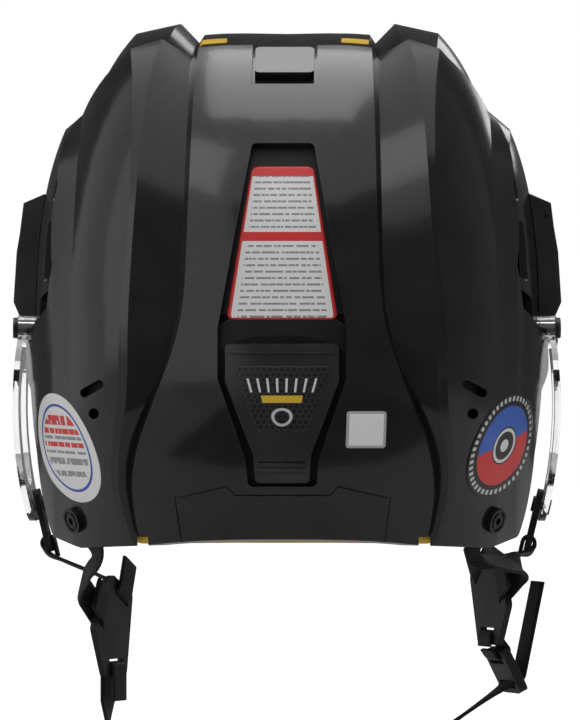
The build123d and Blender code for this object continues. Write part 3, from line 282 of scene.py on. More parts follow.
# %% Dark cards that only reflections see
def dark_card(name, one_edge, other_edge, glow):
    """A sheet between two rows of points. It glows a little, as a dark room does."""
    count = len(one_edge)
    faces = [(k, k + 1, k + 1 + count, k + count) for k in range(count - 1)]
    card = mesh_piece(name, np.concatenate([one_edge, other_edge]), faces)
    card.data.polygons.foreach_set("use_smooth", [False] * len(faces))
    cloth, shader, _ = new_material(name + "_cloth")
    fill(shader, {"Base Color": (0, 0, 0), "Roughness": 1.0, "Specular IOR Level": 0.0,
                  "Emission Color": (1, 1, 1), "Emission Strength": glow})
    card.data.materials.append(cloth)
    card.visible_camera = False
    card.visible_diffuse = False
    card.visible_transmission = False
    card.visible_shadow = False


def at_height(spots, height):
    """A row of floor points, lifted to one height."""
    return np.column_stack([np.asarray(spots, float), np.full(len(spots), height)])


floor_height = cad_box[0][2] - 12 * mm
card_top = 2.0
walls = {
    "front_card": ([(-1.9, -1.7), (1.9, -1.7)], 0.07),
    "left_card": ([(1.9, -1.7), (1.9, -0.4)], 0.5),
    "right_card": ([(0.45, 2.2), (-0.5, 2.2), (-1.8, 1.2), (-1.8, -1.7)], 0.15),
}
for name, (feet, glow) in walls.items():
    dark_card(name, at_height(feet, floor_height), at_height(feet, card_top), glow)
floor_card_height = floor_height + 1 * mm
dark_card("low_card", at_height([(-1.2, 0.28), (0.25, 0.28)], floor_card_height),
          at_height([(-1.2, 2.2), (0.25, 2.2)], floor_card_height), 0.1)

# %% Pale floor
floor_half = 6.0
corners = np.array([(-1, -1), (1, -1), (1, 1), (-1, 1)]) * floor_half
floor = mesh_piece("floor", at_height(corners, floor_height), [(0, 1, 2, 3)])
paint, shader, _ = new_material("pale_floor")
seen = add(shader.id_data, "ShaderNodeLightPath").outputs["Is Camera Ray"]
fill(shader, {"Base Color": (0.62, 0.62, 0.62), "Roughness": 0.9, "Emission Color": (1, 1, 1),
              "Emission Strength": times(seen, 0.75)})
floor.data.materials.append(paint)
print("floor at", round(floor_height, 4))

# %% [markdown]
# ## Shared surface effects
# Several finishes need the same effects: a fine moulded grain, worn edges, dust that settles on
# what faces up, a weave, foam cells. Each is a node group with named inputs, made once and placed
# in every material with its own values. A group only gives masks, values and colours, and the
# shader itself stays in the material.

# %% Node groups
def effect(name, amounts, *results):
    """A node group that takes a vector and these float amounts, and gives these float results."""
    group = bpy.data.node_groups.new(name, "ShaderNodeTree")
    group.interface.new_socket("Vector", in_out="INPUT", socket_type="NodeSocketVector")
    for label, value in amounts.items():
        group.interface.new_socket(label, in_out="INPUT", socket_type="NodeSocketFloat").default_value = value
    for label in results:
        group.interface.new_socket(label, in_out="OUTPUT", socket_type="NodeSocketFloat")
    return group, group.nodes.new("NodeGroupInput").outputs, group.nodes.new("NodeGroupOutput")


def place(group, where, **amounts):
    """Places a node group in the material that a place comes from, with its own amounts."""
    values = {label.replace("_", " "): amount for label, amount in amounts.items()}
    return add(where.id_data, "ShaderNodeGroup", {"Vector": where, **values}, node_tree=group).outputs


# %% Moulded grain: fine noise over broad, soft unevenness
grain_group, into, out = effect(
    "moulded_grain", {"Grain Scale": 1500.0, "Wave Scale": 60.0, "Grain Share": 0.3}, "Height", "Tone"
)
fine = noise(into["Vector"], into["Grain Scale"], 2.0)
broad = noise(into["Vector"], into["Wave Scale"], 1.0)
part_fine = times(fine, into["Grain Share"])
part_broad = times(broad, maths("SUBTRACT", 1.0, into["Grain Share"]))
fill(out, {"Height": plus(part_fine, part_broad), "Tone": maths("SUBTRACT", broad, 0.5)})

# %% Worn edges: where a rounded copy of the surface leaves the true one
wear_group, into, out = effect("worn_edges", {"Radius": 0.6 * mm, "Patch Scale": 90.0}, "Mask")
rounded = add(wear_group, "ShaderNodeBevel", {"Radius": into["Radius"]}, samples=4).outputs[0]
true_face = add(wear_group, "ShaderNodeNewGeometry").outputs["Normal"]
agreement = add(wear_group, "ShaderNodeVectorMath", {0: rounded, 1: true_face}, operation="DOT_PRODUCT")
bend = maths("SUBTRACT", 1.0, agreement.outputs["Value"])
bend = maths("MINIMUM", times(bend, 6.0), 1.0)
rub = ranged(noise(into["Vector"], into["Patch Scale"], 4.0), 0.42, 0.62)
fill(out, {"Mask": times(bend, rub)})

# %% Dust: a thin veil on faces that look up
dust_group, into, out = effect("dust", {"Amount": 0.3}, "Mask")
facing = parts_of(add(dust_group, "ShaderNodeNewGeometry").outputs["Normal"])
upward = ranged(facing["Z"], 0.2, 1.0)
specks = ranged(noise(into["Vector"], 240.0, 5.0), 0.4, 0.75)
fill(out, {"Mask": times(upward, specks, into["Amount"])})

# %% Hairline scratches: noise stretched along one direction and cut to thin lines
scratch_group, into, out = effect("hairlines", {"Turn": 0.6, "Scale": 30.0}, "Mask")
turned = add(scratch_group, "ShaderNodeVectorRotate", {"Vector": into["Vector"], "Angle": into["Turn"]},
             rotation_type="Y_AXIS")
stretched = add(scratch_group, "ShaderNodeVectorMath", {0: turned.outputs[0], 1: (1.0, 1.0, 16.0)},
                operation="MULTIPLY")
lines = noise(stretched.outputs[0], into["Scale"], 6.0)
near_middle = maths("ABSOLUTE", maths("SUBTRACT", lines, 0.5))
thin = ranged(near_middle, 0.0, 0.006, 1.0, 0.0)
few = ranged(noise(into["Vector"], 25.0, 1.0), 0.55, 0.7)
fill(out, {"Mask": times(thin, few)})

# %% [markdown]
# ## Moulded plastic
# The shells are injection moulded and glossy, with a faint orange-peel unevenness. Levers and
# the adjuster's slider are the same plastic. The tray, hooks, yokes and buckle are a duller,
# grained nylon. One function makes both, from how rough, how grained and how worn they are.

# %% Black plastics
rubbed_black = (0.10, 0.10, 0.105)
plastic_dust = (0.16, 0.155, 0.15)


def black_plastic(name, tone, roughness, peel, grain_share, wear, dust, specular, coat=0.0):
    """Moulded black plastic: a dark base, grain as a bump, paler worn edges, hairlines and dust."""
    material, shader, where = new_material(name)
    grain = place(grain_group, where, Grain_Share=grain_share)
    worn = times(place(wear_group, where)["Mask"], wear)
    veil = place(dust_group, where, Amount=dust)["Mask"]
    hair = place(scratch_group, where)["Mask"]
    base = ranged(grain["Tone"], -0.2, 0.2, tone * 0.8, tone * 1.2)
    rough = plus(roughness, times(grain["Tone"], roughness * 0.5), times(worn, 0.3), times(hair, 0.12), veil)
    fill(shader, {"Base Color": over(over(base, worn, rubbed_black), veil, plastic_dust),
                  "Roughness": rough, "Specular IOR Level": specular, "Coat Weight": coat,
                  "Coat Roughness": 0.05})
    bump(shader, peel, maths("SUBTRACT", grain["Height"], times(hair, 0.1)))
    return material


gloss_shell = black_plastic("gloss_black_shell", 0.011, 0.17, 0.06 * mm, 0.02, 0.35, 0.05, 0.4, coat=0.15)
gloss_lever = black_plastic("gloss_black_lever", 0.026, 0.26, 0.05 * mm, 0.05, 0.6, 0.08, 0.4)
dull_nylon = black_plastic("dull_black_nylon", 0.013, 0.48, 0.09 * mm, 0.75, 0.7, 0.10, 0.3)
matt_tray = black_plastic("matt_black_tray", 0.008, 0.55, 0.10 * mm, 0.85, 0.3, 0.04, 0.25)


def finish(material, *names):
    """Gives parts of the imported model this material, on every slot they have."""
    for name in names:
        mesh = nodes[name].data
        if not mesh.materials:
            mesh.materials.append(material)
        for number in range(len(mesh.materials)):
            mesh.materials[number] = material


finish(gloss_shell, "rear_shell", "front_shell")
finish(gloss_lever, "side_latch_left", "side_latch_right", "latch_base_left", "latch_base_right",
       "occipital_slider")
finish(dull_nylon, "strap_hook_left", "strap_hook_right", "strap_yoke_left", "strap_yoke_right",
       "strap_buckle", "occipital_carrier")
finish(matt_tray, "adjuster_tray")

# %% [markdown]
# ## Screws and rivets
# The strap and guard screws are blackened steel: metal under a thin dark finish that has turned
# on a lathe, so fine rings run round the heads. The adjuster's own screw is bare steel.

# %% Steels
def steel(name, colour, roughness, streak, wear):
    """Metal with a fine noise grain as bump, a roughness that follows the grain and bright worn edges."""
    material, shader, where = new_material(name)
    grain = place(grain_group, where, Grain_Scale=2600.0, Wave_Scale=500.0, Grain_Share=0.5)
    worn = place(wear_group, where, Radius=0.4 * mm, Patch_Scale=400.0)["Mask"]
    bright = tuple(min(1, c + 0.3) for c in colour)
    fill(shader, {"Base Color": over(colour, times(worn, wear), bright), "Metallic": 1.0,
                  "Roughness": maths("MULTIPLY_ADD", grain["Tone"], 0.3, roughness)})
    bump(shader, streak, grain["Height"])
    return material


black_steel = steel("blackened_steel", (0.045, 0.045, 0.048), 0.38, 0.04 * mm, 0.5)
bare_steel = steel("bare_steel", (0.55, 0.55, 0.56), 0.3, 0.03 * mm, 0.3)
finish(black_steel, "strap_screws", "strap_nuts", "hook_rivets", "ear_guard_screws", "ear_guard_nuts",
       "cage_nuts", "latch_pins")
finish(bare_steel, "adjuster_screw")

# %% [markdown]
# ## Clear ear guards
# The guards are clear polycarbonate. Against a white background such a plate is nearly invisible
# except at its edges, where light runs inside it. Plain glass with polycarbonate's index does
# this by itself, and light handling scratches keep it from looking perfect.

# %% Clear polycarbonate
clear_guard, shader, where = new_material("clear_polycarbonate")
hair = place(scratch_group, where, Scale=45.0)["Mask"]
grain = place(grain_group, where, Grain_Share=0.05, Wave_Scale=90.0)
fill(shader, {"Base Color": ranged(grain["Tone"], -0.2, 0.2, 0.90, 0.97), "Transmission Weight": 1.0,
              "IOR": 1.57, "Roughness": maths("MULTIPLY_ADD", hair, 0.25, 0.03)})
bump(shader, 0.03 * mm, grain["Height"])
finish(clear_guard, "ear_guard_left", "ear_guard_right")

# %% [markdown]
# ## Foam liners
# The liners are moulded foam: firm black blocks at the brow and sides, and a yellow block over
# the crown and the back, which shows through the shell's small windows. A saw-cut or machined
# block has sharp edges, but moulded foam doesn't, so each block's mesh is rebuilt from small
# voxels and smoothed. Shallow air channels are then pressed into the side that faces the head.

# %% Foam with small closed cells
cell_group, into, out = effect("foam_cells", {"Cell Scale": 900.0}, "Height", "Tone")
cells = add(cell_group, "ShaderNodeTexVoronoi", {"Vector": into["Vector"], "Scale": into["Cell Scale"]})
cloud = noise(into["Vector"], 60.0, 3.0)
fill(out, {"Height": maths("POWER", cells.outputs["Distance"], 0.7),
           "Tone": maths("SUBTRACT", cloud, 0.5)})

foam_dust = (0.3, 0.29, 0.27)
cell_depth = 0.25 * mm


def foam(name, dark, light, painted_shade_box=None):
    """Closed-cell foam: a cell pattern as bump and shade, with a soft cloudiness between two tones.
    Where a half width, a lowest and a highest point are given, its outer side (the faces that point back) is
    painted near black between them: painted shade where the yellow foam shows in the gaps round the
    adjuster's tray."""
    material, shader, where = new_material(name)
    cell = place(cell_group, where)
    veil = place(dust_group, where, Amount=0.12)["Mask"]
    share = ranged(cell["Tone"], -0.25, 0.25)
    pitted = times(share, maths("MULTIPLY_ADD", cell["Height"], 0.8, 0.6))
    colour = over(over(dark, pitted, light), veil, foam_dust)
    if painted_shade_box:
        half_width, lowest, highest = painted_shade_box
        spot = parts_of(where)
        facing = parts_of(add(where.id_data, "ShaderNodeNewGeometry").outputs["Normal"])
        painted_shade_mask = times(between(spot["Z"], lowest, highest), within(spot["X"], half_width),
                       maths("GREATER_THAN", facing["Y"], 0.0))
        # Painted shade: back-facing foam inside this box is painted near black, where the gaps round the tray
        # lie in shade.
        colour = over(colour, painted_shade_mask, (0.01, 0.01, 0.01))
    fill(shader, {"Base Color": colour, "Roughness": plus(0.72, cell["Tone"]),
                  "Specular IOR Level": 0.25})
    bump(shader, cell_depth, cell["Height"], 0.8)
    return material


yellows = (0.62, 0.36, 0.015), (0.85, 0.56, 0.05)
yellow_foam = foam("yellow_foam", *yellows)
# The rear liner's yellow foam, with painted shade in a box round the adjuster's tray.
rear_foam_painted_shade = foam("yellow_foam_painted_shade_round_tray", *yellows, (34 * mm, -45 * mm, 98 * mm))
black_foam = foam("black_foam", (0.012, 0.012, 0.013), (0.028, 0.028, 0.030))

# %% Rebuild a block from voxels
def rebuilt(node, name, voxel, rounds):
    """A copy of a part's mesh with its corners merged, remeshed in even cells and smoothed in rounds."""
    mesh = nodes[node].data.copy()
    work = bmesh.new()
    work.from_mesh(mesh)
    bmesh.ops.remove_doubles(work, verts=work.verts, dist=0.01 * mm)
    work.to_mesh(mesh)
    work.free()
    mesh.materials.clear()
    rough_piece = new_object(name + "_rough", mesh)
    cells = rough_piece.modifiers.new("cells", "REMESH")
    cells.mode = "VOXEL"
    cells.voxel_size = voxel
    soften = rough_piece.modifiers.new("soften", "SMOOTH")
    soften.factor = 0.5
    soften.iterations = rounds
    made = evaluated(rough_piece)
    bpy.data.objects.remove(rough_piece)
    made.name = name
    smooth_faces(made)
    return new_object(name, made)


# %% Press channels into the side that faces the head
head_middle = np.array([0, -2.0, 15.0]) * mm


def press_channels(mesh, along, pitch, depth, width):
    """Each channel is a bell curve of the distance to the nearest line. Points that face the head sink by
    its height."""
    points = points_of(mesh)
    normals = normals_of(mesh)
    inward = head_middle - points
    inward = inward / np.linalg.norm(inward, axis=1, keepdims=True)
    facing = np.clip((np.sum(inward * normals, axis=1) - 0.5) / 0.3, 0, 1)
    place_on_line = along(points)
    off_line = (place_on_line + pitch / 2) % pitch - pitch / 2
    sink = depth * np.exp(-(off_line / width) ** 2) * facing
    put_points(mesh, points - normals * sink[:, None])
    return sink.max()


def turn_about_x(points):
    """The distance along an arc over the head, from the back to the front."""
    return np.arctan2(points[:, 2], points[:, 1]) * 100 * mm


def turn_about_z(points):
    """The distance along an arc round the head."""
    return np.arctan2(points[:, 0], points[:, 1]) * 85 * mm


def across(points):
    return points[:, 0]


liner_finish = {
    "liner_front": (black_foam, "black_foam", "front", across, 15.0),
    "liner_crown": (yellow_foam, "yellow_foam", "front", across, 19.0),
    "liner_temple_left": (black_foam, "black_foam", "front", turn_about_x, 16.0),
    "liner_temple_right": (black_foam, "black_foam", "front", turn_about_x, 16.0),
    "liner_rear": (rear_foam_painted_shade, "yellow_foam", "rear", across, 17.0),
    "liner_rear_side_left": (black_foam, "black_foam", "rear", turn_about_z, 13.0),
    "liner_rear_side_right": (black_foam, "black_foam", "rear", turn_about_z, 13.0),
}
liner_voxel = 1.7 * mm
channel_depth = 1.4 * mm
channel_width = 2.0 * mm
for node, (material, slot, body, along, pitch) in liner_finish.items():
    liner = rebuilt(node, node + "_foam", liner_voxel, 3)
    sunk = press_channels(liner.data, along, pitch * mm, channel_depth, channel_width)
    liner.data.materials.append(material)
    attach(liner, body)
    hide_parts(node)
    print(liner.name, len(liner.data.polygons), "faces, channels", round(sunk / mm, 2), "mm deep")

# %% [markdown]
# ## Comfort pads
# Thin pads of soft foam in a knitted cover sit between the liner and the head. A plain slab looks
# hard. Real ones are a little fuller in the middle than at the sewn edge, so each pad is filled
# by a short cloth simulation with pressure inside, and how far a point may move is capped, because
# the pad has only a millimetre or two before it meets the liner. The sewn lines come afterwards.

# %% Knitted cover
knit_group, into, out = effect("knit", {"Pitch": 1.1 * mm}, "Height")
spread = maths("DIVIDE", 2 * np.pi, into["Pitch"])
scaled = add(knit_group, "ShaderNodeVectorMath", {0: into["Vector"], 3: spread}, operation="SCALE")
axes = parts_of(scaled.outputs[0])
waves = [maths("SINE", axes[label]) for label in "XYZ"]
fill(out, {"Height": maths("MULTIPLY_ADD", plus(*waves), 1 / 6, 0.5)})

pad_cover, shader, where = new_material("knitted_pad_cover")
knit = place(knit_group, where)["Height"]
cloud = place(grain_group, where, Wave_Scale=40.0, Grain_Scale=900.0)["Tone"]
shade = plus(times(knit, 0.6), times(cloud, 0.8))
fill(shader, {"Base Color": over((0.012, 0.012, 0.014), shade, (0.05, 0.05, 0.055)),
              "Roughness": plus(0.8, cloud), "Sheen Weight": 0.35, "Sheen Roughness": 0.4})
bump(shader, 0.3 * mm, knit, 0.8)

# %% Fill a pad by pressure, then sew it
filling_frames = 20


def fill_pad(piece, cap):
    """Runs cloth with pressure. Each point keeps its direction and moves at most by the cap."""
    scene = bpy.context.scene
    start = points_of(piece.data)
    cloth = piece.modifiers.new("pressure", "CLOTH")
    cloth.settings.use_pressure = True
    cloth.settings.uniform_pressure_force = 4.0
    cloth.settings.effector_weights.gravity = 0.0
    cloth.settings.quality = 5
    for number in range(1, filling_frames + 1):
        scene.frame_set(number)
    swollen = piece.evaluated_get(bpy.context.evaluated_depsgraph_get()).to_mesh()
    moved = points_of(swollen) - start
    piece.modifiers.clear()
    scene.frame_set(1)
    distance = np.linalg.norm(moved, axis=1, keepdims=True)
    put_points(piece.data, start + moved * np.minimum(1, cap / np.maximum(distance, 1e-9)))
    return distance.max()


def subdivided(piece):
    """Gives the piece one round of subdivision."""
    surface = piece.modifiers.new("finer", "SUBSURF")
    surface.levels = 1
    surface.render_levels = 1
    finer = evaluated(piece)
    piece.modifiers.clear()
    old = piece.data
    piece.data = finer
    bpy.data.meshes.remove(old)
    finer.name = piece.name


def along_temple(points):
    """The distance along the side of the head, from a little ahead of the ear."""
    return points[:, 1] + 6 * mm


pad_lines = {
    "pad_front": ("front", across, 18.6),
    "pad_crown": ("front", across, 17.0),
    "pad_temple_left": ("front", along_temple, 21.0),
    "pad_temple_right": ("front", along_temple, 21.0),
    "occipital_pad": ("adjuster", across, 22.0),
}
pad_cap = 0.7 * mm
pad_voxel = 2.2 * mm
seam_size = 1.1 * mm
for node, (body, along, pitch) in pad_lines.items():
    pad = rebuilt(node, node + "_cover", pad_voxel, 4)
    grown = fill_pad(pad, pad_cap)
    subdivided(pad)
    press_channels(pad.data, along, pitch * mm, seam_size, seam_size)
    pad.data.materials.clear()
    pad.data.materials.append(pad_cover)
    smooth_faces(pad.data)
    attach(pad, body)
    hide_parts(node)
    print(pad.name, len(pad.data.polygons), "faces, filled by", round(grown / mm, 2), "mm")

# %% [markdown]
# ## Webbing straps
# The straps are 13 mm polypropylene webbing, 1.5 mm thick. Webbing is flat and bends only across
# its flat side, so each strap is a rounded rectangle carried along a path, and every point of the
# path also says which way the flat side faces. Half circles take it round the bars, and smooth
# curves between two directions join them. The mesh keeps the distance along and across the strap
# as its UV map, in millimetres, and the weave follows that.

# %% Paths of a strap, as arrays of points and facing directions
def unit(vector):
    vector = np.asarray(vector, float)
    return vector / np.linalg.norm(vector, axis=-1, keepdims=True)


def half_turn(middle, flat, along, radius, steps=18):
    """Round a bar: middle plus radius times (flat times cosine minus along times sine), for half a turn."""
    turn = np.linspace(0, np.pi, steps)[:, None]
    facing = flat * np.cos(turn) - along * np.sin(turn)
    return middle + facing * radius, facing


def smooth_run(start, leaving, end, arriving, first_flat, last_flat, steps=48, middle_flat=None, twist=0.3):
    """A cubic curve with given ends and end directions. The facing direction turns evenly on the way,
    or it twists to the middle one over the first share of the run and back over the last."""
    t = np.linspace(0, 1, steps)[1:-1, None]
    points = start * (2 * t ** 3 - 3 * t ** 2 + 1) + leaving * (t ** 3 - 2 * t ** 2 + t)
    points = points + end * (3 * t ** 2 - 2 * t ** 3) + arriving * (t ** 3 - t ** 2)
    if middle_flat is None:
        return points, unit(first_flat * (1 - t) + last_flat * t)
    near_first = np.clip(1 - t / twist, 0, 1)
    near_last = np.clip(1 - (1 - t) / twist, 0, 1)
    near_first = near_first ** 2 * (3 - 2 * near_first)
    near_last = near_last ** 2 * (3 - 2 * near_last)
    near_middle = 1 - near_first - near_last
    return points, unit(first_flat * near_first + last_flat * near_last + middle_flat * near_middle)


def edge_on(ahead, outward):
    """The facing direction that shows a straight strap's edge to someone behind the helmet."""
    facing = unit(np.cross(ahead, (0.0, 1.0, 0.0)))
    return facing * np.sign(np.dot(facing, outward))


def straight(start, end, flat, steps=6):
    t = np.linspace(0, 1, steps)[:, None]
    return start * (1 - t) + end * t, np.repeat(np.asarray(flat, float)[None], steps, axis=0)


def reversed_run(run):
    return run[0][::-1], run[1][::-1]


def joined(*runs):
    """Runs one after the other, without points that repeat."""
    points = np.concatenate([run[0] for run in runs])
    facing = np.concatenate([run[1] for run in runs])
    gaps = np.linalg.norm(np.diff(points, axis=0), axis=1)
    keep = np.concatenate([[True], gaps > 0.05])
    return points[keep], facing[keep]


# %% The webbing surface
webbing_width = 13.0
webbing_thickness = 1.5


def webbing_piece(name, run):
    """A rounded rectangle, across times cosine to the power a quarter and thick times sine to the power
    a half, carried along the path. Points are in millimetres until the mesh is made."""
    points, facing = run
    ahead = unit(np.gradient(points, axis=0))
    sideways = unit(np.cross(facing, ahead))
    outward = unit(np.cross(ahead, sideways))
    around = 28
    turn = np.linspace(0, 2 * np.pi, around, endpoint=False) + np.pi / around
    flat_place = webbing_width / 2 * np.sign(np.cos(turn)) * np.abs(np.cos(turn)) ** 0.25
    high_place = webbing_thickness / 2 * np.sign(np.sin(turn)) * np.abs(np.sin(turn)) ** 0.5
    edge = 1 - 0.12 * (np.abs(flat_place) / (webbing_width / 2)) ** 6
    grid = (points[:, None] + sideways[:, None] * flat_place[None, :, None]
            + outward[:, None] * (high_place * edge)[None, :, None])
    count = len(points)
    rows, columns = np.meshgrid(np.arange(count - 1), np.arange(around), indexing="ij")
    nxt = (columns + 1) % around
    quads = np.stack([rows * around + columns, rows * around + nxt, (rows + 1) * around + nxt,
                      (rows + 1) * around + columns], axis=-1).reshape(-1, 4)
    first_cap = list(range(around))[::-1]
    last_cap = [(count - 1) * around + k for k in range(around)]
    piece = mesh_piece(name, grid.reshape(-1, 3) * mm, [*quads.tolist(), first_cap, last_cap])
    length = np.concatenate([[0], np.cumsum(np.linalg.norm(np.diff(points, axis=0), axis=1))])
    pairs = np.column_stack([np.repeat(length, around), np.tile(flat_place, count)])
    map_points(piece, "along_and_across", pairs)
    work = bmesh.new()
    work.from_mesh(piece.data)
    bmesh.ops.recalc_face_normals(work, faces=work.faces)
    work.to_mesh(piece.data)
    work.free()
    print(name, round(length[-1]), "mm long,", len(piece.data.polygons), "faces")
    return piece


# %% Woven polypropylene
weave_group, into, out = effect("webbing_weave", {"Rib Pitch": 1.05, "Pick Pitch": 1.5}, "Height", "Shade")
flat = parts_of(into["Vector"])
rib = maths("DIVIDE", flat["Y"], into["Rib Pitch"])
row = times(maths("FLOOR", rib), np.pi)
pick = times(maths("DIVIDE", flat["X"], into["Pick Pitch"]), 2 * np.pi)
crossing = maths("SINE", plus(pick, row))
crossing = maths("MULTIPLY_ADD", crossing, 0.5, 0.5)
round_rib = maths("ABSOLUTE", maths("SINE", times(rib, np.pi)))
thread = times(maths("POWER", round_rib, 0.5), maths("MULTIPLY_ADD", crossing, 0.7, 0.3))
fluff = noise(into["Vector"], 3.0, 4.0)
half_thread = times(thread, 0.5)
fill(out, {"Height": thread, "Shade": maths("MULTIPLY_ADD", fluff, 0.6, half_thread)})

webbing, shader, _ = new_material("black_webbing")
strap_map = add(shader.id_data, "ShaderNodeUVMap", uv_map="along_and_across").outputs[0]
weave = place(weave_group, strap_map)
fill(shader, {"Base Color": over((0.004, 0.004, 0.005), weave["Shade"], (0.020, 0.020, 0.022)),
              "Roughness": maths("MULTIPLY_ADD", weave["Shade"], -0.25, 0.72),
              "Specular IOR Level": 0.2, "Sheen Weight": 0.08, "Sheen Roughness": 0.35})
bump(shader, 0.3 * mm, weave["Height"], 0.9)

# %% Where the straps are held
down = np.array([0.0, 0.0, -1.0])
strap_bend = 2.35
slot_reach = 13.0
loop_tail = 12.0
strap_places = {
    "left": {"yoke": (65.9685, 14.986, -86.944), "to_screw": (0.29, 0.7968, 0.53),
             "to_hook": (-0.1324, -0.3639, 0.922)},
    "right": {"yoke": (-77.013, 14.986, -75.0035), "to_screw": (-0.314, 0.8626, 0.3966),
              "to_hook": (0.2154, -0.5919, 0.7767)},
}
on_both_sides = {
    "out": (0.9397, -0.342, 0.0),
    "screw": (74.3214, 71.6014, -43.0759), "screw_out": (0.7882, 0.5328, -0.3081),
    "screw_down": (-0.2553, -0.1725, -0.9514),
    "hook": (92.341, -10.0, -52.5193), "hook_out": (0.9732, 0.0, -0.23), "hook_down": (-0.23, 0.0, -0.9732),
}
for (side, spots), mirror in zip(strap_places.items(), ((1, 1, 1), (-1, 1, 1))):
    spots.update({key: np.array(value) for key, value in spots.items()})
    spots.update({key: np.array(value) * mirror for key, value in on_both_sides.items()})


def loop_through(middle, out, along):
    """A strap that comes in along the outside, turns round the slot's bar and runs back inside."""
    bar = middle + along * (slot_reach + strap_bend)
    turn = half_turn(bar, out, along, strap_bend)
    back = straight(turn[0][-1], bar - out * strap_bend + along * loop_tail, -out)
    return joined(turn, back)


def dress(piece, node):
    """Gives a strap its weave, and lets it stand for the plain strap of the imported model."""
    piece.data.materials.append(webbing)
    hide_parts(node)


# %% Rear and front straps
tab_above, tab_below = 8.0, 11.0
run_share = 0.45
short_run = 1.0
rear_twist = 0.35
for side, spot in strap_places.items():
    tab_top = spot["screw"] - spot["screw_down"] * tab_above
    tab_end = spot["screw"] + spot["screw_down"] * tab_below
    sag = np.linalg.norm(spot["screw"] - spot["yoke"]) / 2
    start = spot["yoke"] + spot["out"] * strap_bend + spot["to_screw"] * (slot_reach + strap_bend + loop_tail)
    run = joined(
        straight(tab_top, tab_end, spot["screw_out"]),
        smooth_run(tab_end, spot["screw_down"] * sag, start, -spot["to_screw"] * sag, spot["screw_out"],
                   spot["out"], middle_flat=edge_on(start - tab_end, spot["out"]), twist=rear_twist),
        loop_through(spot["yoke"], spot["out"], spot["to_screw"]),
    )
    strap = webbing_piece(f"rear_strap_{side}", run)
    dress(strap, f"strap_rear_{side}")
    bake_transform(strap)

    turn_middle = spot["hook"] + spot["hook_down"] * strap_bend
    leave = turn_middle + spot["hook_out"] * strap_bend + spot["hook_down"] * short_run
    start = spot["yoke"] + spot["out"] * strap_bend + spot["to_hook"] * (slot_reach + strap_bend + short_run)
    span = np.linalg.norm(leave - start)
    round_hook = reversed_run(half_turn(turn_middle, spot["hook_out"], spot["hook_down"], strap_bend))
    inner_end = turn_middle - spot["hook_out"] * strap_bend + spot["hook_down"] * loop_tail / 2
    run = joined(
        straight(inner_end, round_hook[0][0], -spot["hook_out"]),
        round_hook,
        straight(round_hook[0][-1], leave, spot["hook_out"]),
        smooth_run(leave, spot["hook_down"] * span * run_share, start, -spot["to_hook"] * span * run_share,
                   spot["hook_out"], spot["out"], middle_flat=edge_on(start - leave, spot["out"])),
        loop_through(spot["yoke"], spot["out"], spot["to_hook"]),
    )
    strap = webbing_piece(f"front_strap_{side}", run)
    dress(strap, f"strap_front_{side}")
    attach(strap, "front")

# %% The buckle's short link
buckle_bend = 3.0
buckle_slot = 5.2
right = strap_places["right"]
lean = np.radians(27.0)
yoke_bar = right["yoke"] + down * (slot_reach + strap_bend)
buckle_down = unit(right["out"] * np.sin(lean) + down * np.cos(lean))
buckle_out = unit(right["out"] * np.cos(lean) - down * np.sin(lean))
link_reach = 5.5
buckle_bar = yoke_bar + buckle_down * link_reach
buckle_centre = buckle_bar + buckle_down * (buckle_slot + buckle_bend)
under_bar = half_turn(buckle_bar, -buckle_out, -buckle_down, buckle_bend)
over_bar = half_turn(yoke_bar, right["out"], down, strap_bend)
link_end = yoke_bar - right["out"] * strap_bend + down * 3.2
link_start = link_end + unit(under_bar[0][0] - link_end) * 1.6
link = webbing_piece("buckle_link", joined(
    straight(link_start, under_bar[0][0], -buckle_out, 4), under_bar,
    straight(under_bar[0][-1], over_bar[0][0], buckle_out, 4), over_bar,
    straight(over_bar[0][-1], link_end, -right["out"], 4),
))
dress(link, "strap_link")
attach(link, "front")

# %% The chin strap and its free end
chin_low = np.array([-4.975, -24.003, -152.009])
left = strap_places["left"]
left_loop = reversed_run(loop_through(left["yoke"], left["out"], down))
left_top = left["yoke"] + left["out"] * strap_bend + down * (slot_reach + strap_bend + loop_tail)
chin_top = left_top + down * 9
side_on = np.array([1.0, 0.0, 0.0])
drop = chin_top[2] - chin_low[2]
lower_slot = buckle_centre + buckle_down * buckle_slot
slot_entry = lower_slot - buckle_out * 3.4
slot_exit = lower_slot + buckle_out * 1.8
reach_over = np.array([(slot_entry[0] - left_top[0]) * 0.5, 0, 0])
tail_radius = 3.0
tail_length = 36.0
tail_turn = np.linspace(0, np.radians(51), 10)[:, None]
spoke = buckle_down * np.cos(tail_turn) + buckle_out * np.sin(tail_turn)
tail_bend = (slot_exit - buckle_down * tail_radius + spoke * tail_radius, spoke)
tail_along = buckle_out * np.cos(tail_turn[-1]) - buckle_down * np.sin(tail_turn[-1])
tail_end = tail_bend[0][-1] + tail_along * tail_length
chin = webbing_piece("chin_webbing", joined(
    left_loop,
    straight(left_loop[0][-1], left_top, left["out"]),
    smooth_run(left_top, down * 9, chin_top, down * 9, left["out"], side_on, 16),
    smooth_run(chin_top, down * drop * 1.5, chin_low, reach_over, side_on, down, 60),
    (chin_low[None], down[None]),
    smooth_run(chin_low, reach_over, slot_entry, buckle_out * drop, down, buckle_down, 60),
    straight(slot_entry, slot_exit, buckle_down, 4),
    tail_bend,
    straight(tail_bend[0][-1], tail_end, spoke[-1], 12),
))
dress(chin, "chin_strap")
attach(chin, "front")

# %% [markdown]
# ## Label and stickers
# A printed label fills the sunk bed above the adjuster, and there are stickers on both sides.
# Each is a thin skin that lies on the plastic. A flat grid of the right outline is laid in front
# of the surface and projected onto it, which is what the Shrinkwrap modifier does, and Solidify
# gives the skin its thickness. The printing is generic: borders, bands and ruled lines.

# %% Lay a thin skin on a part
skin_lift = 0.05 * mm
stand_off = 0.12
skin_thickness = 0.14 * mm
far_off = 25
off_surface = 1.0


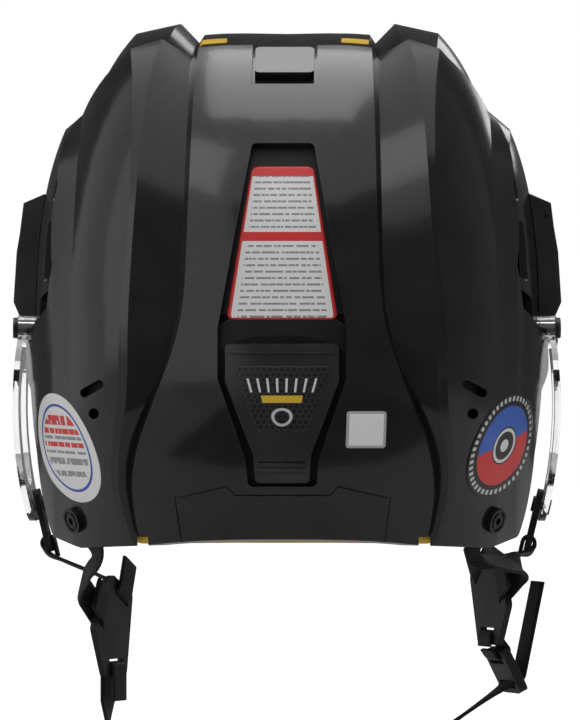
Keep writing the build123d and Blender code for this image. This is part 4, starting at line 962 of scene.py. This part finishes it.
def smooth_depth(points):
    """Where a point fell through a hole, its depth comes from a cubic surface fitted to the others."""
    x, y, z = points.T / mm
    terms = np.column_stack([x ** a * y ** b for a in range(4) for b in range(4 - a)])
    good = np.abs(z - np.median(z)) < far_off
    for _ in range(3):
        fitted = terms @ np.linalg.lstsq(terms[good], z[good], rcond=None)[0]
        good = np.abs(z - fitted) < off_surface
    return np.column_stack([x, y, np.where(good, z, fitted)]) * mm


def skin_on(name, node, body, material, outline, centre, facing, up=(0, 0, 1), rows=48, columns=40):
    """A grid of u and v from -1 to 1, spread by the outline, set up in the plane of facing and up,
    and projected along facing onto the part. Its UV map holds u and v. It rides the part's body."""
    v, u = np.meshgrid(np.linspace(-1, 1, rows), np.linspace(-1, 1, columns), indexing="ij")
    flat_x, flat_y = outline(u, v)
    number = np.arange(rows * columns).reshape(rows, columns)
    quads = np.stack([number[:-1, :-1], number[:-1, 1:], number[1:, 1:], number[1:, :-1]], axis=-1)
    grid = np.column_stack([flat_x.reshape(-1), flat_y.reshape(-1), np.zeros(rows * columns)]) * mm
    piece = mesh_piece(name, grid, quads.reshape(-1, 4).tolist())
    map_points(piece, "print", np.column_stack([u.reshape(-1), v.reshape(-1)]))
    z_axis = unit(facing)
    x_axis = unit(np.cross(up, z_axis))
    axes = np.column_stack([x_axis, np.cross(z_axis, x_axis), z_axis])
    origin = np.asarray(centre, float) * mm + z_axis * stand_off
    piece.matrix_world = Matrix([(*row, spot) for row, spot in zip(axes, origin)] + [(0, 0, 0, 1)])
    wrap = piece.modifiers.new("lay_on", "SHRINKWRAP")
    wrap.wrap_method = "PROJECT"
    wrap.use_project_z = True
    wrap.use_positive_direction = False
    wrap.use_negative_direction = True
    wrap.target = nodes[node]
    wrap.offset = skin_lift
    bpy.context.view_layer.update()
    put_points(piece.data, smooth_depth(points_of(evaluated(piece))))
    piece.modifiers.clear()
    thicken = piece.modifiers.new("thickness", "SOLIDIFY")
    thicken.thickness = skin_thickness
    thicken.offset = 1.0
    bpy.context.view_layer.update()
    made = evaluated(piece)
    made.transform(piece.matrix_world)
    bpy.data.objects.remove(piece)
    made.name = name
    smooth_faces(made)
    skin = new_object(name, made)
    skin.data.materials.append(material)
    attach(skin, body)
    low, high = points_of(made).min(0) / mm, points_of(made).max(0) / mm
    print(name, "from", low.round(1), "to", high.round(1))
    return skin


def round_outline(half_wide, half_high, lean=0.0):
    """A disc: each row is as wide as the circle is there, and moves sideways by its height times lean."""
    def outline(u, v):
        height = np.sin(v * np.pi / 2) * half_high
        width = np.maximum(np.cos(v * np.pi / 2), 0.02) * half_wide
        return u * width - lean * height, height
    return outline


def tapered_outline(top_half, low_half, half_high, corner):
    """A trapezoid whose corners are rounded by the circle's own width loss near both ends."""
    def outline(u, v):
        half = low_half + (top_half - low_half) * (v + 1) / 2
        near_end = np.clip((corner - (1 - np.abs(v)) * half_high) / corner, 0, 1)
        return u * (half - corner * (1 - np.sqrt(1 - near_end ** 2))), v * half_high
    return outline


# %% Printed vinyl
vinyl_white = (0.86, 0.86, 0.85)
label_red = (0.72, 0.035, 0.035)
ink_grey = (0.30, 0.31, 0.32)
ink_blue = (0.035, 0.09, 0.45)
ink_black = (0.012, 0.012, 0.014)


def printed(name, roughness):
    """A new vinyl material, with its shader and the print's u and v."""
    material, shader, where = new_material(name)
    grain = place(grain_group, where, Grain_Share=0.15, Wave_Scale=120.0)
    fill(shader, {"Roughness": maths("MULTIPLY_ADD", grain["Tone"], 0.3, roughness)})
    bump(shader, 0.04 * mm, grain["Height"], 0.6)
    flat = parts_of(add(shader.id_data, "ShaderNodeUVMap", uv_map="print").outputs[0])
    return material, shader, flat["X"], flat["Y"]


def broken_lines(along, line, detail, share):
    """1 on dashes of uneven length: where noise that stays the same across a line is high."""
    spot = add(along.id_data, "ShaderNodeCombineXYZ", {0: along, 1: maths("FLOOR", line)}).outputs[0]
    return maths("GREATER_THAN", noise(spot, 1.0, detail), share)


def rows_at(up, *spans):
    """1 in each of these spans of height."""
    return folded("MAXIMUM", *[between(up, low, high) for low, high in spans])


# %% The label: a red border, two red bands and ruled grey dashes
lines_per_half = 12.0
label_print, shader, u, v = printed("label_print", 0.3)
border = folded("MAXIMUM", maths("GREATER_THAN", maths("ABSOLUTE", u), 0.93),
                maths("GREATER_THAN", maths("ABSOLUTE", v), 0.975), rows_at(v, (0.87, 1.0), (0.02, 0.14)))
line = times(v, lines_per_half)
dashes = times(between(maths("FRACT", line), 0.3, 0.62), broken_lines(times(u, 12.0), line, 2.0, 0.44),
               within(u, 0.82))
fill(shader, {"Base Color": over(over(vinyl_white, dashes, ink_grey), border, label_red)})
skin_on("label", "adjuster_tray", "rear", label_print, tapered_outline(11.4, 20.4, 28.2, 2.2), (0, 100, 58),
        (0, 1, 0), rows=70)

# %% The two side stickers
def disc_places(u, v):
    """How far up the disc, across it and out from its middle a point is. The rim is at 1."""
    quarter_turns = times(v, np.pi / 2)
    up = maths("SINE", quarter_turns)
    across_it = times(u, maths("COSINE", quarter_turns))
    squared = plus(times(up, up), times(across_it, across_it))
    return up, across_it, maths("SQRT", squared)


oval_print, shader, u, v = printed("oval_print", 0.25)
up, over_disc, radius = disc_places(u, v)
dashes = broken_lines(times(over_disc, 9.0), times(up, 8.0), 1.0, 0.42)
dashes = times(dashes, within(radius, 0.7))
red_rows = rows_at(up, (0.42, 0.60), (0.26, 0.36), (0.02, 0.11))
grey_rows = rows_at(up, (0.16, 0.22), (-0.10, -0.05), (-0.30, -0.18), (-0.52, -0.42))
colour = over(vinyl_white, times(red_rows, dashes), label_red)
colour = over(colour, times(grey_rows, dashes), ink_grey)
fill(shader, {"Base Color": over(colour, between(radius, 0.76, 0.81), ink_blue)})

round_print, shader, u, v = printed("round_print", 0.25)
up, over_disc, radius = disc_places(u, v)
upper = maths("GREATER_THAN", maths("MULTIPLY_ADD", over_disc, -0.3, up), 0.05)
turn = maths("ARCTAN2", up, over_disc)
dashes = maths("LESS_THAN", maths("FRACT", times(turn, 7.0)), 0.55)
layers = [
    (upper, (0.04, 0.13, 0.55)),
    (maths("LESS_THAN", radius, 0.36), ink_black),
    (between(radius, 0.27, 0.33), (0.80, 0.80, 0.79)),
    (maths("LESS_THAN", radius, 0.12), (0.80, 0.80, 0.79)),
    (maths("GREATER_THAN", radius, 0.76), ink_black),
    (times(dashes, between(radius, 0.85, 0.94)), (0.62, 0.62, 0.61)),
]
colour = (0.70, 0.03, 0.03)
for mask, ink in layers:
    colour = over(colour, mask, ink)
fill(shader, {"Base Color": colour})

skin_on("oval_sticker", "rear_shell", "rear", oval_print, round_outline(23.0, 20.2, 0.35),
        (82.3, 79.2, -17.8), (0.71, 0.70, -0.08))
skin_on("round_sticker", "rear_shell", "rear", round_print, round_outline(23.0, 19.4, -0.35),
        (-83.6, 80.9, -17.0), (-0.69, 0.72, -0.08))

# %% The small square sticker
square_print, shader, u, v = printed("square_print", 0.3)
middle = times(within(u, 0.86), within(v, 0.86))
fill(shader, {"Base Color": over((0.45, 0.45, 0.45), middle, vinyl_white)})
skin_on("square_sticker", "rear_shell", "rear", square_print, tapered_outline(7.5, 7.5, 6.75, 0.8),
        (-30.4, 120, -10.5), (-0.18, 0.98, 0), rows=24, columns=24)

# %% Two strips of the crown's foam, which show above the rear shell's top edge
for side, x, lean in (("left", 27.4, 0.07), ("right", -26.0, -0.06)):
    strip = skin_on(f"crown_foam_{side}", "front_shell", "front", yellow_foam,
                    tapered_outline(5.2, 5.2, 4.0, 0.8), (x, 41, 134.9), (lean, 0.23, 0.97), (0, 1, 0),
                    20, 20)

# %% [markdown]
# ## The adjuster's badge
# The slider's face carries a dark inset with a honeycomb texture and plain marks: a row of white
# ticks like a ruler's, a yellow bar and a ring. It is a thin plate on the slider, so it moves
# with it.

# %% Honeycomb plate
badge_print, shader, u, v = printed("badge_print", 0.35)
cell_width = 2.2 * mm
row_share = np.sqrt(3.0)
tree = shader.id_data
spot = parts_of(add(tree, "ShaderNodeTexCoord").outputs["Object"])
x_place = maths("DIVIDE", spot["X"], cell_width)
z_place = maths("DIVIDE", spot["Z"], cell_width * row_share)


def hex_distance(shift):
    """How far a point is from the nearest centre of one of the two grids that make a honeycomb."""
    a = maths("SUBTRACT", maths("FRACT", plus(x_place, shift)), 0.5)
    b = maths("SUBTRACT", maths("FRACT", plus(z_place, shift)), 0.5)
    a = maths("ABSOLUTE", a)
    b = maths("ABSOLUTE", times(b, row_share))
    slanted = plus(times(a, 0.5), times(b, row_share / 2))
    return maths("MAXIMUM", a, slanted)


comb_wall = maths("GREATER_THAN", maths("MINIMUM", hex_distance(0.0), hex_distance(0.5)), 0.42)
ticks = times(between(maths("FRACT", times(u, 4.5)), 0.38, 0.62), within(u, 0.85), between(v, 0.2, 0.62))
bar = times(between(v, -0.12, 0.1), within(u, 0.55))
ring_spot = add(tree, "ShaderNodeCombineXYZ", {0: times(u, 0.8), 1: plus(v, 0.56)}).outputs[0]
ring_radius = add(tree, "ShaderNodeVectorMath", {0: ring_spot}, operation="LENGTH").outputs["Value"]
colour = over((0.008, 0.008, 0.009), comb_wall, (0.035, 0.036, 0.038))
colour = over(colour, ticks, (0.75, 0.75, 0.74))
colour = over(colour, bar, (0.75, 0.5, 0.03))
fill(shader, {"Base Color": over(colour, between(ring_radius, 0.2, 0.28), (0.6, 0.6, 0.6))})
bump(shader, 0.2 * mm, comb_wall, 0.8)
skin_on("slider_badge", "occipital_slider", "adjuster", badge_print, tapered_outline(17.8, 9.2, 12.0, 1.2),
        (0, 125, 0.8), (0, 1, 0))
